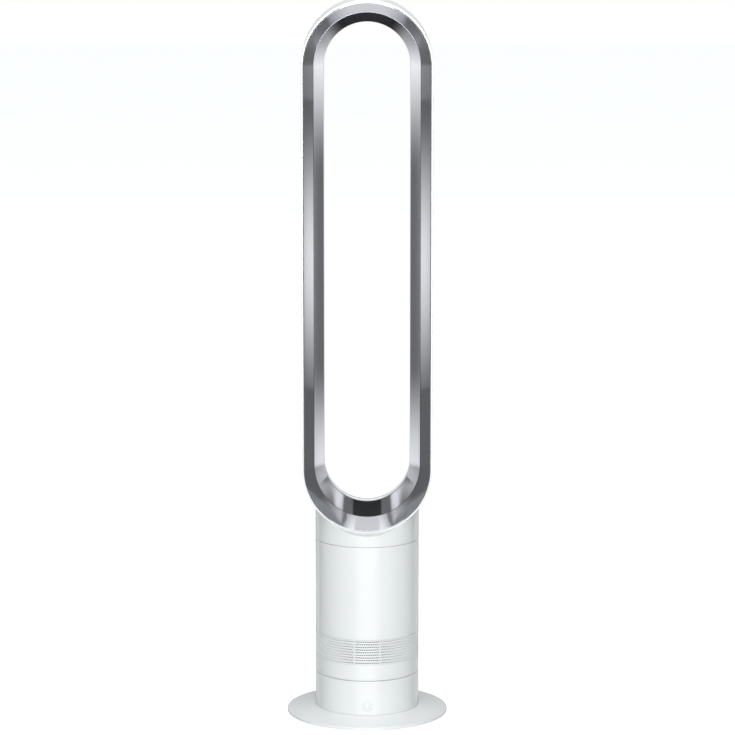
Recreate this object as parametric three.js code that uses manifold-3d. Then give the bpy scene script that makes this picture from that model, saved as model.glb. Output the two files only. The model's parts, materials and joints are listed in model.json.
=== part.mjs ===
// A tower fan without visible blades: a tall racetrack-shaped air loop on a round body that
// swivels on a fixed drum and foot. An impeller hidden in the body draws air in through a
// perforated band and blows it up into the hollow loop, from where it leaves by a narrow slot
// and runs forward over the loop's inner ramp.
// Millimetres, +Z up, front towards -Y, origin on the floor at the centre of the foot.
import * as THREE from 'three';
import { LoftGeometry } from 'three/addons/geometries/LoftGeometry.js';
import { mergeVertices } from 'three/addons/utils/BufferGeometryUtils.js';
import Module from 'manifold-3d';

const wasm = await Module();
wasm.setup();

// ---- Clearances ---------------------------------------------------------------------------
const gap = 0.3; // between pieces that seat, slide or turn on each other
const seam = 0.8; // open line between the outer casings
const bite = 0.8; // how far joined forms reach into each other
const tipClearance = 1; // impeller blades to their shroud
const runClearance = 1.5; // impeller to the motor bucket above it

// ---- Foot ---------------------------------------------------------------------------------
const footRadius = 113;
const footRim = 4.2; // height of the rim's wall
const footRise = 6.4; // from the rim up to the seat of the drum
const footSkin = 2.4;
const footWall = 2.7;
const footEdge = 0.7; // softened corners of the rim
const footRibs = 8;
const footRibThickness = 2;
const underplateThickness = 1.6;
const padCount = 5;
const padRadius = 7;
const padHeight = 1.7;
const padProud = 1; // what the pads stand below the foot
const padInset = 15; // foot's edge to the centre of a pad

// ---- Drum and upper casing ------------------------------------------------------------------
const bodyRadius = 72.8;
const bodyWall = 2.5;
const drumHeight = 48.7;
const casingHeight = 190;
const deckDrop = 4; // drum's top edge down to its deck
const deckThickness = 2.5;
const bossCount = 4;
const bossRadius = 4;
const bossHeight = 12;
const neckWall = 2.5;
const neckHeight = 10.9; // the casing's neck inside the loop's collar
const ledgeWidth = 5;
const ledgeThickness = 2.5;

// ---- Swivel ---------------------------------------------------------------------------------
const spigotRadius = 16;
const spigotBore = 12;
const spigotGroove = 1.4;
const clipThickness = 1.5;
const clipWidth = 5;
const clipMouth = 60; // degrees left open to slide the clip on
const turntableThickness = 3;
const bearingInset = 9; // the drum's outer face in to the bearing ring
const bearingWidth = 6;
const gearModule = 1.5;
const pressureAngle = 25; // degrees
const addendum = 0.85; // of the module
const dedendum = 1.15;
const sectorPitchTeeth = 40; // teeth of the full circle that the sector is cut from
const sectorTeeth = 13;
const sectorWeb = 7;
const pinionTeeth = 14;
const backlash = 0.35;
const pinionShaft = 2.5;
const pinionShaftLength = 10;
const stepperRadius = 14;
const stepperHeight = 12;
const stepperEar = 19; // centre of the stepper to the end of an ear
const stepperEarThickness = 1.5;

// ---- Inlet band and display -------------------------------------------------------------------
const bandRise = 22.6; // casing's lower edge to the band
const bandHeight = 35.6;
const bandThickness = 2.2;
const bandColumns = 60; // holes and webs together, all round
const bandRows = 3;
const bandWeb = 3; // solid strip between two rows
const bandFlange = 2;
const barCount = 12;
const barWidth = 3;
const barDepth = 2.6;
const windowHalfAngle = 13; // degrees
const windowThickness = 1.9;
const displayWidth = 30;
const displayHeight = 26;
const boardThickness = 1.6;

// ---- Impeller, its housing and its motor ------------------------------------------------------
const shelfThickness = 3;
const shelfWidth = 10.6;
const mountCount = 3;
const mountHeight = 5;
const mountHalfAngle = 8; // degrees
const mountWidth = 5.4;
const sealWidth = 2.7;
const sealLip = 3;
const housingRoom = 12.6; // casing's inner wall to the housing's inner wall
const housingWall = 2;
const eyeRadius = 40;
const bellRadius = 10;
const shroudHeight = 36;
const housingOutlet = 41.7; // straight part above the shroud
const ductWidth = 20; // housing's inner wall to the motor bucket
const bladeCount = 9;
const bladeThickness = 1.6;
const bladeSweep = 68; // degrees from leading to trailing edge
const hubNose = 12;
const hubRise = 5; // how far the hub's back stands above the shroud
const shaftRadius = 4;
const bearingRadius = 9;
const bearingHeight = 5;
const bucketWall = 2.5;
const bucketLowerHeight = 16.2;
const bucketUpperWall = 21.7;
const domeHeight = 16;
const vaneCount = 11;
const diffuserHeight = 16;
const diffuserSweep = 30; // degrees
const statorPoles = 9;
const statorHeight = 20;
const statorYoke = 6;
const poleHalfAngle = 6; // degrees
const poleShoe = 2;
const rotorRadius = 12.4;
const foamHeight = 14;
const foamBore = 24;
const motorFoamHeight = 8;

// ---- Controls and supply in the drum ------------------------------------------------------------
const buttonRadius = 6.75;
const buttonHeight = 12.4; // drum's lower edge to the button's centre
const buttonProud = 0.2;
const buttonFlange = 1.7;
const buttonFlangeThickness = 1;
const buttonStem = 2.5;
const buttonStemLength = 6.6;
const buttonTravel = 1;
const switchSize = 9;
const switchDepth = 6;
const switchWall = 2;
const switchBoardWidth = 24;
const switchBoardHeight = 20;
const railThickness = 2;
const powerBoardWidth = 84;
const powerBoardDepth = 60;
const powerBoardOffset = -12; // its centre, towards the front
const postHeight = 5.5;
const postRadius = 3;
const postInset = 6;
const transformerSize = 24;
const capacitorRadius = 7;
const inletHeight = 10; // drum's lower edge to the cord inlet's centre
const inletBore = 4.25;
const inletWall = 1.95;
const inletFlange = 2;

// ---- Loop -------------------------------------------------------------------------------------
const loopWidth = 181;
const loopHeight = 740.3;
const loopDepth = 105;
const collarRise = 14.5; // casing seam up to the lowest point of the loop
const endStretch = 0.1; // how much wider the bands are at the ends than along the sides
const rimWidth = 2.9; // white rim seen round the silver
const rimLand = 6.5;
const outerBand = 14.2; // widths of the two silver bands, seen from the front
const innerBand = 13.9;
const outerBandDepth = 29; // front edge back to the crease
const innerBandDepth = 36; // crease back to the throat
const loopWall = 2;
const bezelWall = 2.2;
const bezelSkirt = 14.5;
const creaseFlange = 7;
const coandaRadius = 12; // curve that the air clings to
const coandaEnd = 75; // degrees past the throat
const slotWidth = 1.1;
const lipAngle = 35; // degrees past the throat where the outer shell's lip ends
const lipThickness = 1.2;
const rearStart = 13; // throat back to where the rear rounding starts
const guideVanes = 7; // on each side
const guideVaneRadius = 20;
const guideVaneThickness = 1.5;
const spacerCount = 5;
const spacerHeight = 3;
const ductHalfWidth = 48;
const ductFront = 42;
const ductRear = 20;
const ductCorner = 12;
const magnetRadius = 5;
const magnetThickness = 3;
const magnetPitch = 25;
const gasketHeight = 1.5;
const arcSteps = 12; // facets on each round end of the loop

// ---- Levels and radii that follow ---------------------------------------------------------------
const radians = THREE.MathUtils.degToRad;
const lerp = THREE.MathUtils.lerp;

const zRim = padProud + footRim;
const zCrown = zRim + footRise;
const zDrum = zCrown + gap;
const zDrumTop = zDrum + drumHeight;
const zDeck = zDrumTop - deckDrop;
const zDeckUnder = zDeck - deckThickness;
const zCasing = zDrumTop + seam;
const zTurntable = zCasing + gap;
const zTurntableTop = zTurntable + turntableThickness;
const zClip = zTurntableTop + gap;
const zBand = zCasing + bandRise;
const zBandTop = zBand + bandHeight;
const zShelf = zBandTop + shelfThickness;
const zBell = zShelf + gap + mountHeight + gap;
const zEye = zBell + bellRadius;
const zShroud = zEye + gap;
const zShroudTop = zShroud + shroudHeight;
const zOutlet = zShroudTop + housingOutlet;
const zHubBack = zShroudTop + hubRise;
const zBucket = zHubBack + runClearance;
const zBucketFloor = zBucket + bucketWall;
const zBucketJoint = zBucket + bucketLowerHeight;
const zUpperBucket = zBucketJoint + gap;
const zDome = zUpperBucket + bucketUpperWall;
const zLowerBearing = zBucketFloor + gap;
const zStator = zLowerBearing + bearingHeight + 1;
const zStatorTop = zStator + statorHeight;
const zUpperBearing = zStatorTop + 2.4;
const zShaftTop = zUpperBearing + bearingHeight + gap;
const zCasingTop = zCasing + casingHeight;
const zNeckTop = zCasingTop + neckHeight;
const zCollar = zCasingTop + seam;
const zLoop = zCollar + collarRise;

const bodyInner = bodyRadius - bodyWall;
const ledgeInner = bodyInner - ledgeWidth;
const bandInner = bodyRadius - bandThickness;
const barOuter = bandInner - gap;
const barInner = barOuter - barDepth;
const neckOuter = bodyInner - gap;
const neckInner = neckOuter - neckWall;
const flangeRadius = bodyInner - gap - sealWidth - gap;
const housingInner = bodyInner - housingRoom;
const bucketRadius = housingInner - ductWidth;
const bucketInner = bucketRadius - bucketWall;
const shaftBore = shaftRadius + gap;
const bearingPocket = bearingRadius + gap;
const sectorPitch = sectorPitchTeeth * gearModule / 2;
const pinionPitch = pinionTeeth * gearModule / 2;
const pinionPlace = sectorPitch + pinionPitch;

const loopRadius = loopWidth / 2;
const zLowerArc = zLoop + loopRadius;
const zUpperArc = zLoop + loopHeight - loopRadius;
const loopFront = -loopDepth / 2;
const loopInner = loopRadius - loopWall;
const bezelRadius = loopRadius - rimWidth;
const creaseRadius = bezelRadius - outerBand;
const throatRadius = creaseRadius - innerBand;
const creaseY = loopFront + outerBandDepth;
const throatY = creaseY + innerBandDepth;
const coandaCentre = throatRadius + coandaRadius;

// ---- Making solids --------------------------------------------------------------------------------
// Round forms get facets by their radius.
function facets(radius) {
  if (radius > 70) return 36;
  if (radius > 25) return 20;
  return radius > 8 ? 14 : 8;
}

// The largest radius that stays clear inside a faceted round wall.
function clearOf(radius) {
  return radius * Math.cos(Math.PI / facets(radius)) - gap / 2;
}

// A closed geometry as a solid that can be joined and cut.
function solid(geometry) {
  const bare = new THREE.BufferGeometry();
  bare.setAttribute('position', geometry.getAttribute('position'));
  bare.setIndex(geometry.getIndex());
  const merged = mergeVertices(bare, 1e-4);
  const corners = merged.getIndex().array;
  const triVerts = [];
  for (let i = 0; i < corners.length; i += 3) {
    const [a, b, c] = corners.slice(i, i + 3);
    if (a !== b && b !== c && c !== a) triVerts.push(a, b, c);
  }
  return new wasm.Manifold(new wasm.Mesh({
    numProp: 3,
    vertProperties: new Float32Array(merged.getAttribute('position').array),
    triVerts: new Uint32Array(triVerts),
  }));
}

function join(...solids) {
  return solids.reduce((whole, one) => whole.add(one));
}

function cut(whole, ...tools) {
  return tools.reduce((rest, tool) => rest.subtract(tool), whole);
}

// A profile of [radius, z] points, counterclockwise, turned about the Z axis.
function revolve(profile, count = facets(Math.max(...profile.map(([r]) => r)))) {
  const points = profile.map(([r, z]) => new THREE.Vector2(r, z));
  const onAxis = profile[0][0] === 0 && profile.at(-1)[0] === 0;
  if (!onAxis) points.push(points[0].clone());
  return solid(new THREE.LatheGeometry(points, count).rotateX(Math.PI / 2));
}

function ring(inner, outer, zLow, zHigh) {
  return revolve([[inner, zLow], [outer, zLow], [outer, zHigh], [inner, zHigh]]);
}

function rod(radius, zLow, zHigh) {
  return revolve([[0, zLow], [radius, zLow], [radius, zHigh], [0, zHigh]]);
}

function box(xSize, ySize, zSize, x, y, z) {
  return solid(new THREE.BoxGeometry(xSize, ySize, zSize).translate(x, y, z));
}

function outline(points) {
  return new THREE.Shape(points.map(([x, y]) => new THREE.Vector2(x, y)));
}

// A plan outline in X and Y, raised from one level to another.
function extrude(shape, zLow, zHigh) {
  const settings = { depth: zHigh - zLow, bevelEnabled: false, curveSegments: 4 };
  return solid(new THREE.ExtrudeGeometry(shape, settings).translate(0, 0, zLow));
}

// An outline in X and Z, run from one depth to another.
function extrudeAlongY(shape, yLow, yHigh) {
  const settings = { depth: yHigh - yLow, bevelEnabled: false };
  const geometry = new THREE.ExtrudeGeometry(shape, settings);
  return solid(geometry.rotateX(Math.PI / 2).translate(0, yHigh, 0));
}

// A profile of [radius, y] points, counterclockwise, turned about an axis along Y.
function revolveAlongY(profile, x, z, count) {
  const points = profile.map(([r, y]) => new THREE.Vector2(r, y));
  const onAxis = profile[0][0] === 0 && profile.at(-1)[0] === 0;
  if (!onAxis) points.push(points[0].clone());
  return solid(new THREE.LatheGeometry(points, count).translate(x, 0, z));
}

// A plate that follows a circle about the Z axis for a few degrees either side of the front.
function curvedPlate(inner, outer, zLow, zHigh, halfAngle) {
  const shape = new THREE.Shape();
  shape.absarc(0, 0, outer, -Math.PI / 2 - halfAngle, -Math.PI / 2 + halfAngle, false);
  shape.absarc(0, 0, inner, -Math.PI / 2 + halfAngle, -Math.PI / 2 - halfAngle, true);
  return extrude(shape, zLow, zHigh);
}

function turned(manifold, angle) {
  const geometry = geometryOf(manifold).rotateZ(angle);
  return solid(geometry);
}

function geometryOf(manifold) {
  const mesh = manifold.getMesh();
  const geometry = new THREE.BufferGeometry();
  geometry.setAttribute('position', new THREE.BufferAttribute(mesh.vertProperties, 3));
  geometry.setIndex(new THREE.BufferAttribute(mesh.triVerts, 1));
  return geometry;
}

function piece(name, manifold, material) {
  const geometry = geometryOf(manifold).toNonIndexed();
  geometry.computeVertexNormals();
  const mesh = new THREE.Mesh(geometry, material.clone());
  mesh.name = name;
  return mesh;
}

// ---- Finishes --------------------------------------------------------------------------------------
function finish(color, roughness, metalness = 0) {
  return new THREE.MeshStandardMaterial({ color, roughness, metalness });
}

const whiteShell = finish(0xeef2f3, 0.3);
const satinSilver = finish(0xa9abb2, 0.32, 0.85);
const innerPlastic = finish(0x8f9499, 0.55);
const darkPlastic = finish(0x2b2d30, 0.5);
const acetal = finish(0xe6e2d6, 0.45);
const steel = finish(0xa6a8aa, 0.35, 0.9);
const copperSteel = finish(0x8a6a4c, 0.45, 0.7);
const rubber = finish(0x26272a, 0.85);
const foam = finish(0x4a4d50, 0.95);
const circuitBoard = finish(0x2c5a3d, 0.6);
const smokedLens = finish(0x202226, 0.15);

// ---- Foot ------------------------------------------------------------------------------------------
// Moulded disc: a rim, a shallow cone up to the drum's seat, ribs and posts.
function footDisc() {
  const inner = footRadius - footWall;
  const seat = bodyRadius + footEdge;
  const skin = revolve([
    [0, zCrown - footSkin],
    [seat, zCrown - footSkin],
    [inner, zRim - footSkin + gap],
    [inner, padProud],
    [footRadius - footEdge, padProud],
    [footRadius, padProud + footEdge],
    [footRadius, zRim - footEdge],
    [footRadius - footEdge, zRim],
    [seat, zCrown],
    [0, zCrown],
  ]);
  const ribLow = padProud + underplateThickness + gap;
  const ribHigh = zCrown - footSkin + bite;
  const ribs = Array.from({ length: footRibs }, (_, i) => {
    const rib = box(seat, footRibThickness, ribHigh - ribLow, seat / 2, 0, (ribLow + ribHigh) / 2);
    return turned(rib, 2 * Math.PI * (i + 0.5) / footRibs);
  });
  const posts = powerBoardCorners().map(([x, y]) => (
    solid(geometryOf(rod(postRadius, zCrown - bite, zCrown + postHeight)).translate(x, y, 0))
  ));
  return join(skin, ...ribs, ...posts);
}

function padPlaces() {
  return Array.from({ length: padCount }, (_, i) => {
    const angle = 2 * Math.PI * i / padCount - Math.PI / 2;
    const radius = footRadius - padInset;
    return [radius * Math.cos(angle), radius * Math.sin(angle)];
  });
}

// Closing plate with a shallow seat for each pad.
function footUnderplate() {
  const radius = footRadius - footWall - gap;
  const seats = padPlaces().map(([x, y]) => (
    solid(geometryOf(rod(padRadius + gap, 0, padHeight + gap)).translate(x, y, 0))
  ));
  return cut(rod(radius, padProud, padProud + underplateThickness), ...seats);
}

// ---- Drum --------------------------------------------------------------------------------------------
// Fixed drum: wall, deck with the hollow spigot that the casing turns on, bosses, board rails,
// and the openings for the button, the cord inlet and the stepper's shaft.
function lowerDrum() {
  const shell = revolve([
    [bodyInner, zDrum],
    [bodyRadius, zDrum],
    [bodyRadius, zDrumTop],
    [bodyInner, zDrumTop],
    [bodyInner, zDeck],
    [spigotRadius - bite, zDeck],
    [spigotRadius - bite, zDeckUnder],
    [bodyInner, zDeckUnder],
  ]);
  const zGrooveTop = zClip + clipThickness + gap;
  const spigot = revolve([
    [spigotBore, zDeckUnder],
    [spigotRadius, zDeckUnder],
    [spigotRadius, zTurntableTop],
    [spigotRadius - spigotGroove, zTurntableTop],
    [spigotRadius - spigotGroove, zGrooveTop],
    [spigotRadius, zGrooveTop],
    [spigotRadius, zGrooveTop + clipThickness],
    [spigotBore, zGrooveTop + clipThickness],
  ]);
  const bosses = Array.from({ length: bossCount }, (_, i) => {
    const boss = geometryOf(rod(bossRadius, zDrum, zDrum + bossHeight));
    return solid(boss.translate(bodyInner - bossRadius + bite, 0, 0).rotateZ((i + 0.5) * Math.PI / 2));
  });
  const railX = switchBoardWidth / 2 + gap + railThickness / 2;
  const railBack = switchBoardBack() + boardThickness;
  const railFront = -Math.sqrt(bodyInner ** 2 - (railX + railThickness / 2) ** 2) - bite;
  const rails = [-railX, railX].map((x) => (
    box(railThickness, railBack - railFront, switchBoardHeight, x, (railBack + railFront) / 2, buttonLevel())
  ));
  const buttonHole = revolveAlongY([
    [0, -bodyRadius - bodyWall],
    [buttonRadius + gap, -bodyRadius - bodyWall],
    [buttonRadius + gap, -bodyInner + bodyWall],
    [0, -bodyInner + bodyWall],
  ], 0, buttonLevel(), 16);
  const inletHole = revolveAlongY([
    [0, bodyInner - bodyWall],
    [inletBore + inletWall + gap, bodyInner - bodyWall],
    [inletBore + inletWall + gap, bodyRadius + bodyWall],
    [0, bodyRadius + bodyWall],
  ], 0, zDrum + inletHeight, 12);
  const shaftHole = solid(
    geometryOf(rod(pinionShaft + 2 * gap, zDeckUnder - 1, zDeck + 1)).translate(0, pinionPlace, 0),
  );
  return cut(join(shell, spigot, ...bosses, ...rails), buttonHole, inletHole, shaftHole);
}

function buttonLevel() {
  return zDrum + buttonHeight;
}

function flangeFront() {
  const reach = buttonRadius + buttonFlange;
  return -Math.sqrt(bodyInner ** 2 - reach ** 2) + gap;
}

function stemEnd() {
  return flangeFront() + buttonFlangeThickness + buttonStemLength;
}

// Round power button: its face follows the drum, its flange keeps it in, its stem reaches the
// switch.
function powerButton() {
  const front = flangeFront();
  const body = revolveAlongY([
    [0, -bodyRadius - bodyWall],
    [buttonRadius, -bodyRadius - bodyWall],
    [buttonRadius, front],
    [buttonRadius + buttonFlange, front],
    [buttonRadius + buttonFlange, front + buttonFlangeThickness],
    [buttonStem, front + buttonFlangeThickness],
    [buttonStem, stemEnd()],
    [0, stemEnd()],
  ], 0, buttonLevel(), 16);
  const face = revolve([
    [0, buttonLevel() - 2 * buttonRadius],
    [bodyRadius + buttonProud, buttonLevel() - 2 * buttonRadius],
    [bodyRadius + buttonProud, buttonLevel() + 2 * buttonRadius],
    [0, buttonLevel() + 2 * buttonRadius],
  ], 96);
  return body.intersect(face);
}

function switchFront() {
  return stemEnd() - switchWall;
}

function switchBoardBack() {
  return switchFront() + switchDepth + gap;
}

// Housing of the push switch, open to the front for the button's stem.
function pushSwitch() {
  const front = switchFront();
  const body = box(switchSize, switchDepth, switchSize, 0, front + switchDepth / 2, buttonLevel());
  const well = revolveAlongY([
    [0, front - 1],
    [buttonStem + gap, front - 1],
    [buttonStem + gap, stemEnd() + buttonTravel + gap],
    [0, stemEnd() + buttonTravel + gap],
  ], 0, buttonLevel(), 12);
  return cut(body, well);
}

function switchBoard() {
  const y = switchBoardBack() + boardThickness / 2;
  return box(switchBoardWidth, boardThickness, switchBoardHeight, 0, y, buttonLevel());
}

function powerBoardCorners() {
  const x = powerBoardWidth / 2 - postInset;
  const y = powerBoardDepth / 2 - postInset;
  return [[-x, -y], [x, -y], [x, y], [-x, y]].map(([cx, cy]) => [cx, cy + powerBoardOffset]);
}

// Supply board with its transformer and capacitors.
function powerBoard() {
  const low = zCrown + postHeight + gap;
  const top = low + boardThickness;
  const board = box(
    powerBoardWidth, powerBoardDepth, boardThickness,
    0, powerBoardOffset, (low + top) / 2,
  );
  const half = transformerSize / 2;
  const transformer = box(
    transformerSize, transformerSize, half + bite,
    -transformerSize, powerBoardOffset, top + half / 2 - bite / 2,
  );
  const capacitors = [transformerSize / 2, transformerSize * 1.25].map((x) => (
    solid(geometryOf(rod(capacitorRadius, top - bite, top + half)).translate(x, powerBoardOffset, 0))
  ));
  return join(board, transformer, ...capacitors);
}

// Bush that the supply cord enters by, low at the back.
function cordInlet() {
  const outer = inletBore + inletWall;
  const flange = outer + inletFlange;
  const back = bodyRadius + gap;
  const front = Math.sqrt(bodyInner ** 2 - flange ** 2) - gap;
  return revolveAlongY([
    [inletBore, front - inletFlange],
    [flange, front - inletFlange],
    [flange, front],
    [outer, front],
    [outer, back],
    [flange, back],
    [flange, back + inletFlange],
    [inletBore, back + inletFlange],
  ], 0, zDrum + inletHeight, 12);
}

// ---- Swivel --------------------------------------------------------------------------------------------
// Points of involute teeth about a centre, tooth by tooth; the angle is that of a tooth's middle.
function toothPoints(teeth, angle) {
  const pitch = teeth * gearModule / 2;
  const base = pitch * Math.cos(radians(pressureAngle));
  const root = pitch - dedendum * gearModule;
  const tip = pitch + addendum * gearModule;
  const involute = (r) => {
    const a = Math.acos(Math.min(1, base / r));
    return Math.tan(a) - a;
  };
  const halfAtPitch = Math.PI / (2 * teeth) - backlash / (4 * pitch);
  const halfAt = (r) => halfAtPitch + involute(pitch) - involute(r);
  const flank = [root, pitch, tip];
  const point = (r, a) => [r * Math.cos(a), r * Math.sin(a)];
  const rising = flank.map((r) => point(r, angle - halfAt(Math.max(r, base))));
  const falling = flank.toReversed().map((r) => point(r, angle + halfAt(Math.max(r, base))));
  return [...rising, ...falling];
}

// Turntable that closes the casing below, with the toothed sector under it.
function turntable() {
  const plate = ring(spigotRadius + gap, bodyInner - gap, zTurntable, zTurntableTop);
  const pitchAngle = 2 * Math.PI / sectorPitchTeeth;
  const middle = (sectorTeeth - 1) / 2;
  const teeth = Array.from({ length: sectorTeeth }, (_, i) => (
    toothPoints(sectorPitchTeeth, Math.PI / 2 + (i - middle) * pitchAngle)
  )).flat();
  const back = sectorPitch - dedendum * gearModule - sectorWeb;
  const half = sectorTeeth * pitchAngle / 2;
  const arc = Array.from({ length: 9 }, (_, i) => {
    const angle = Math.PI / 2 + half * (1 - i / 4);
    return [back * Math.cos(angle), back * Math.sin(angle)];
  });
  const sector = extrude(outline([...teeth, ...arc]), zDeck + 2 * gap, zTurntable + bite);
  return join(plate, sector);
}

function bearingRing() {
  const outer = bodyRadius - bearingInset;
  return ring(outer - bearingWidth, outer, zDeck + gap, zTurntable - gap);
}

// Open clip in the spigot's groove that holds the turntable down.
function retainingClip() {
  const inner = spigotRadius - spigotGroove + gap;
  const half = radians(180 - clipMouth / 2);
  const shape = new THREE.Shape();
  shape.absarc(0, 0, inner + clipWidth, Math.PI / 2 - half, Math.PI / 2 + half, false);
  shape.absarc(0, 0, inner, Math.PI / 2 + half, Math.PI / 2 - half, true);
  const settings = { depth: clipThickness, bevelEnabled: false, curveSegments: 10 };
  return solid(new THREE.ExtrudeGeometry(shape, settings).translate(0, 0, zClip));
}

// Pinion with its shaft, turned about its own axis; a gap between teeth faces the sector.
function pinion() {
  const teeth = Array.from({ length: pinionTeeth }, (_, i) => (
    toothPoints(pinionTeeth, -Math.PI / 2 + (i + 0.5) * 2 * Math.PI / pinionTeeth)
  )).flat();
  const wheel = extrude(outline(teeth), zDeck + gap, zTurntable - gap);
  const shaft = rod(pinionShaft, zDeckUnder - pinionShaftLength, zDeck + deckThickness);
  return join(wheel, shaft);
}

// Stepper motor under the deck, with two fixing ears and a well for the pinion's shaft.
function stepper() {
  const top = zDeckUnder - gap;
  const can = rod(stepperRadius, top - stepperHeight, top);
  const ears = box(
    2 * stepperEar, stepperRadius / 2, stepperEarThickness,
    0, 0, top - stepperEarThickness / 2,
  );
  const well = rod(pinionShaft + gap, top - pinionShaftLength - gap, top + 1);
  return cut(join(can, ears), well);
}

// ---- Upper casing ----------------------------------------------------------------------------------------
// Casing: a lower ring and a long upper wall, joined by bars behind the inlet band.
function bodyCasing() {
  const ledge = zTurntableTop + gap;
  const lower = revolve([
    [bodyInner, zCasing],
    [bodyRadius, zCasing],
    [bodyRadius, zBand],
    [barInner, zBand],
    [barInner, zBand - bandFlange],
    [bodyInner, zBand - bandFlange],
    [bodyInner, ledge + ledgeThickness],
    [ledgeInner, ledge + ledgeThickness],
    [ledgeInner, ledge],
    [bodyInner, ledge],
  ]);
  const upper = revolve([
    [bodyInner - shelfWidth, zBandTop],
    [bodyRadius, zBandTop],
    [bodyRadius, zCasingTop],
    [neckOuter, zCasingTop],
    [neckOuter, zNeckTop],
    [neckInner, zNeckTop],
    [neckInner, zCasingTop - neckWall],
    [bodyInner, zCasingTop - 2 * neckWall],
    [bodyInner, zShelf],
    [bodyInner - shelfWidth, zShelf],
  ]);
  const barLow = zBand - bandFlange / 2;
  const barHigh = zBandTop + shelfThickness / 2;
  const bars = Array.from({ length: barCount }, (_, i) => {
    const x = (barInner + barOuter) / 2;
    const bar = box(barDepth, barWidth, barHigh - barLow, x, 0, (barLow + barHigh) / 2);
    return turned(bar, 2 * Math.PI * (i + 0.5) / barCount);
  });
  return join(lower, upper, ...bars);
}

// Inlet band: a thin ring pierced by staggered rows of holes.
function inletBand() {
  const low = zBand + gap;
  const high = zBandTop - gap;
  const holeHeight = (high - low - (bandRows + 1) * bandWeb) / bandRows;
  const levels = [low];
  for (let row = 0; row < bandRows; row += 1) {
    levels.push(levels.at(-1) + bandWeb);
    levels.push(levels.at(-1) + holeHeight);
  }
  levels.push(high);
  const strips = levels.length - 1;
  const corner = (i, j, r) => {
    const angle = 2 * Math.PI * i / bandColumns;
    return [r * Math.cos(angle), r * Math.sin(angle), levels[j]];
  };
  const isHole = (i, j) => j % 2 === 1 && (i + (j - 1) / 2 + bandColumns) % 2 === 0;
  const isOpen = (i, j) => j < 0 || j >= strips || isHole(i, j);
  const positions = [];
  const face = (a, b, c, d) => positions.push(...a, ...b, ...c, ...a, ...c, ...d);
  const wall = (i0, j0, i1, j1) => face(
    corner(i0, j0, bodyRadius),
    corner(i0, j0, bandInner),
    corner(i1, j1, bandInner),
    corner(i1, j1, bodyRadius),
  );
  for (let i = 0; i < bandColumns; i += 1) {
    for (let j = 0; j < strips; j += 1) {
      if (isHole(i, j)) continue;
      const around = [[i, j], [i + 1, j], [i + 1, j + 1], [i, j + 1]];
      face(...around.map(([a, b]) => corner(a, b, bodyRadius)));
      face(...around.toReversed().map(([a, b]) => corner(a, b, bandInner)));
      if (isOpen(i, j - 1)) wall(i, j, i + 1, j);
      if (isOpen(i + 1, j)) wall(i + 1, j, i + 1, j + 1);
      if (isOpen(i, j + 1)) wall(i + 1, j + 1, i, j + 1);
      if (isOpen(i - 1, j)) wall(i, j + 1, i, j);
    }
  }
  const geometry = new THREE.BufferGeometry();
  geometry.setAttribute('position', new THREE.Float32BufferAttribute(positions, 3));
  return solid(geometry);
}

function displayWindow() {
  const outer = bandInner - gap;
  const half = radians(windowHalfAngle);
  return curvedPlate(outer - windowThickness, outer, zBand + gap, zBandTop - gap, half);
}

function displayBoard() {
  const windowInner = bandInner - gap - windowThickness;
  const front = -Math.sqrt(windowInner ** 2 - (displayWidth / 2) ** 2) + gap;
  const middle = (zBand + zBandTop) / 2;
  return box(displayWidth, boardThickness, displayHeight, 0, front + boardThickness / 2, middle);
}

function lowerFoam() {
  const low = zTurntableTop + gap;
  return ring(foamBore, ledgeInner - gap, low, low + foamHeight);
}

// ---- Impeller unit ----------------------------------------------------------------------------------------
function housingMount() {
  const outer = flangeRadius - gap;
  const low = zShelf + gap;
  return curvedPlate(outer - mountWidth, outer, low, low + mountHeight, radians(mountHalfAngle));
}

// Quarter-round flow surface from the bell's lip up to the impeller's eye.
function bellCurve(radius, startAngle, endAngle) {
  return Array.from({ length: 4 }, (_, i) => {
    const angle = radians(lerp(startAngle, endAngle, i / 3));
    return [eyeRadius + bellRadius + radius * Math.cos(angle), zEye + radius * Math.sin(angle)];
  });
}

function inletBell() {
  return revolve([
    ...bellCurve(bellRadius, 180, 270),
    [flangeRadius, zBell],
    [flangeRadius, zBell + housingWall],
    ...bellCurve(bellRadius - housingWall, 270, 180),
  ]);
}

// Soft ring between the flange of the housing and the casing's wall, with a thin raised lip.
function lipSeal() {
  const inner = flangeRadius + gap;
  const outer = bodyInner - gap;
  return revolve([
    [inner, zBell],
    [(inner + outer) / 2, zBell],
    [outer, zBell + sealLip],
    [inner + 0.5, zBell + housingWall],
    [inner, zBell + housingWall],
  ]);
}

function shroudRadius(z) {
  return lerp(eyeRadius + gap, housingInner, (z - zShroud) / shroudHeight);
}

// Housing: a cone that follows the impeller, a straight outlet, and a flanged skirt.
function impellerHousing() {
  const flangeLow = zBell + housingWall + gap;
  const skirtInner = housingInner - gap;
  return revolve([
    [shroudRadius(zShroud), zShroud],
    [eyeRadius + gap + 1.4 * housingWall, zShroud],
    [skirtInner, zShroudTop - 2 * housingWall],
    [skirtInner, flangeLow],
    [flangeRadius, flangeLow],
    [flangeRadius, flangeLow + housingWall],
    [housingInner + housingWall, flangeLow + housingWall],
    [housingInner + housingWall, zOutlet],
    [housingInner, zOutlet],
    [housingInner, zShroudTop],
  ]);
}

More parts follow.
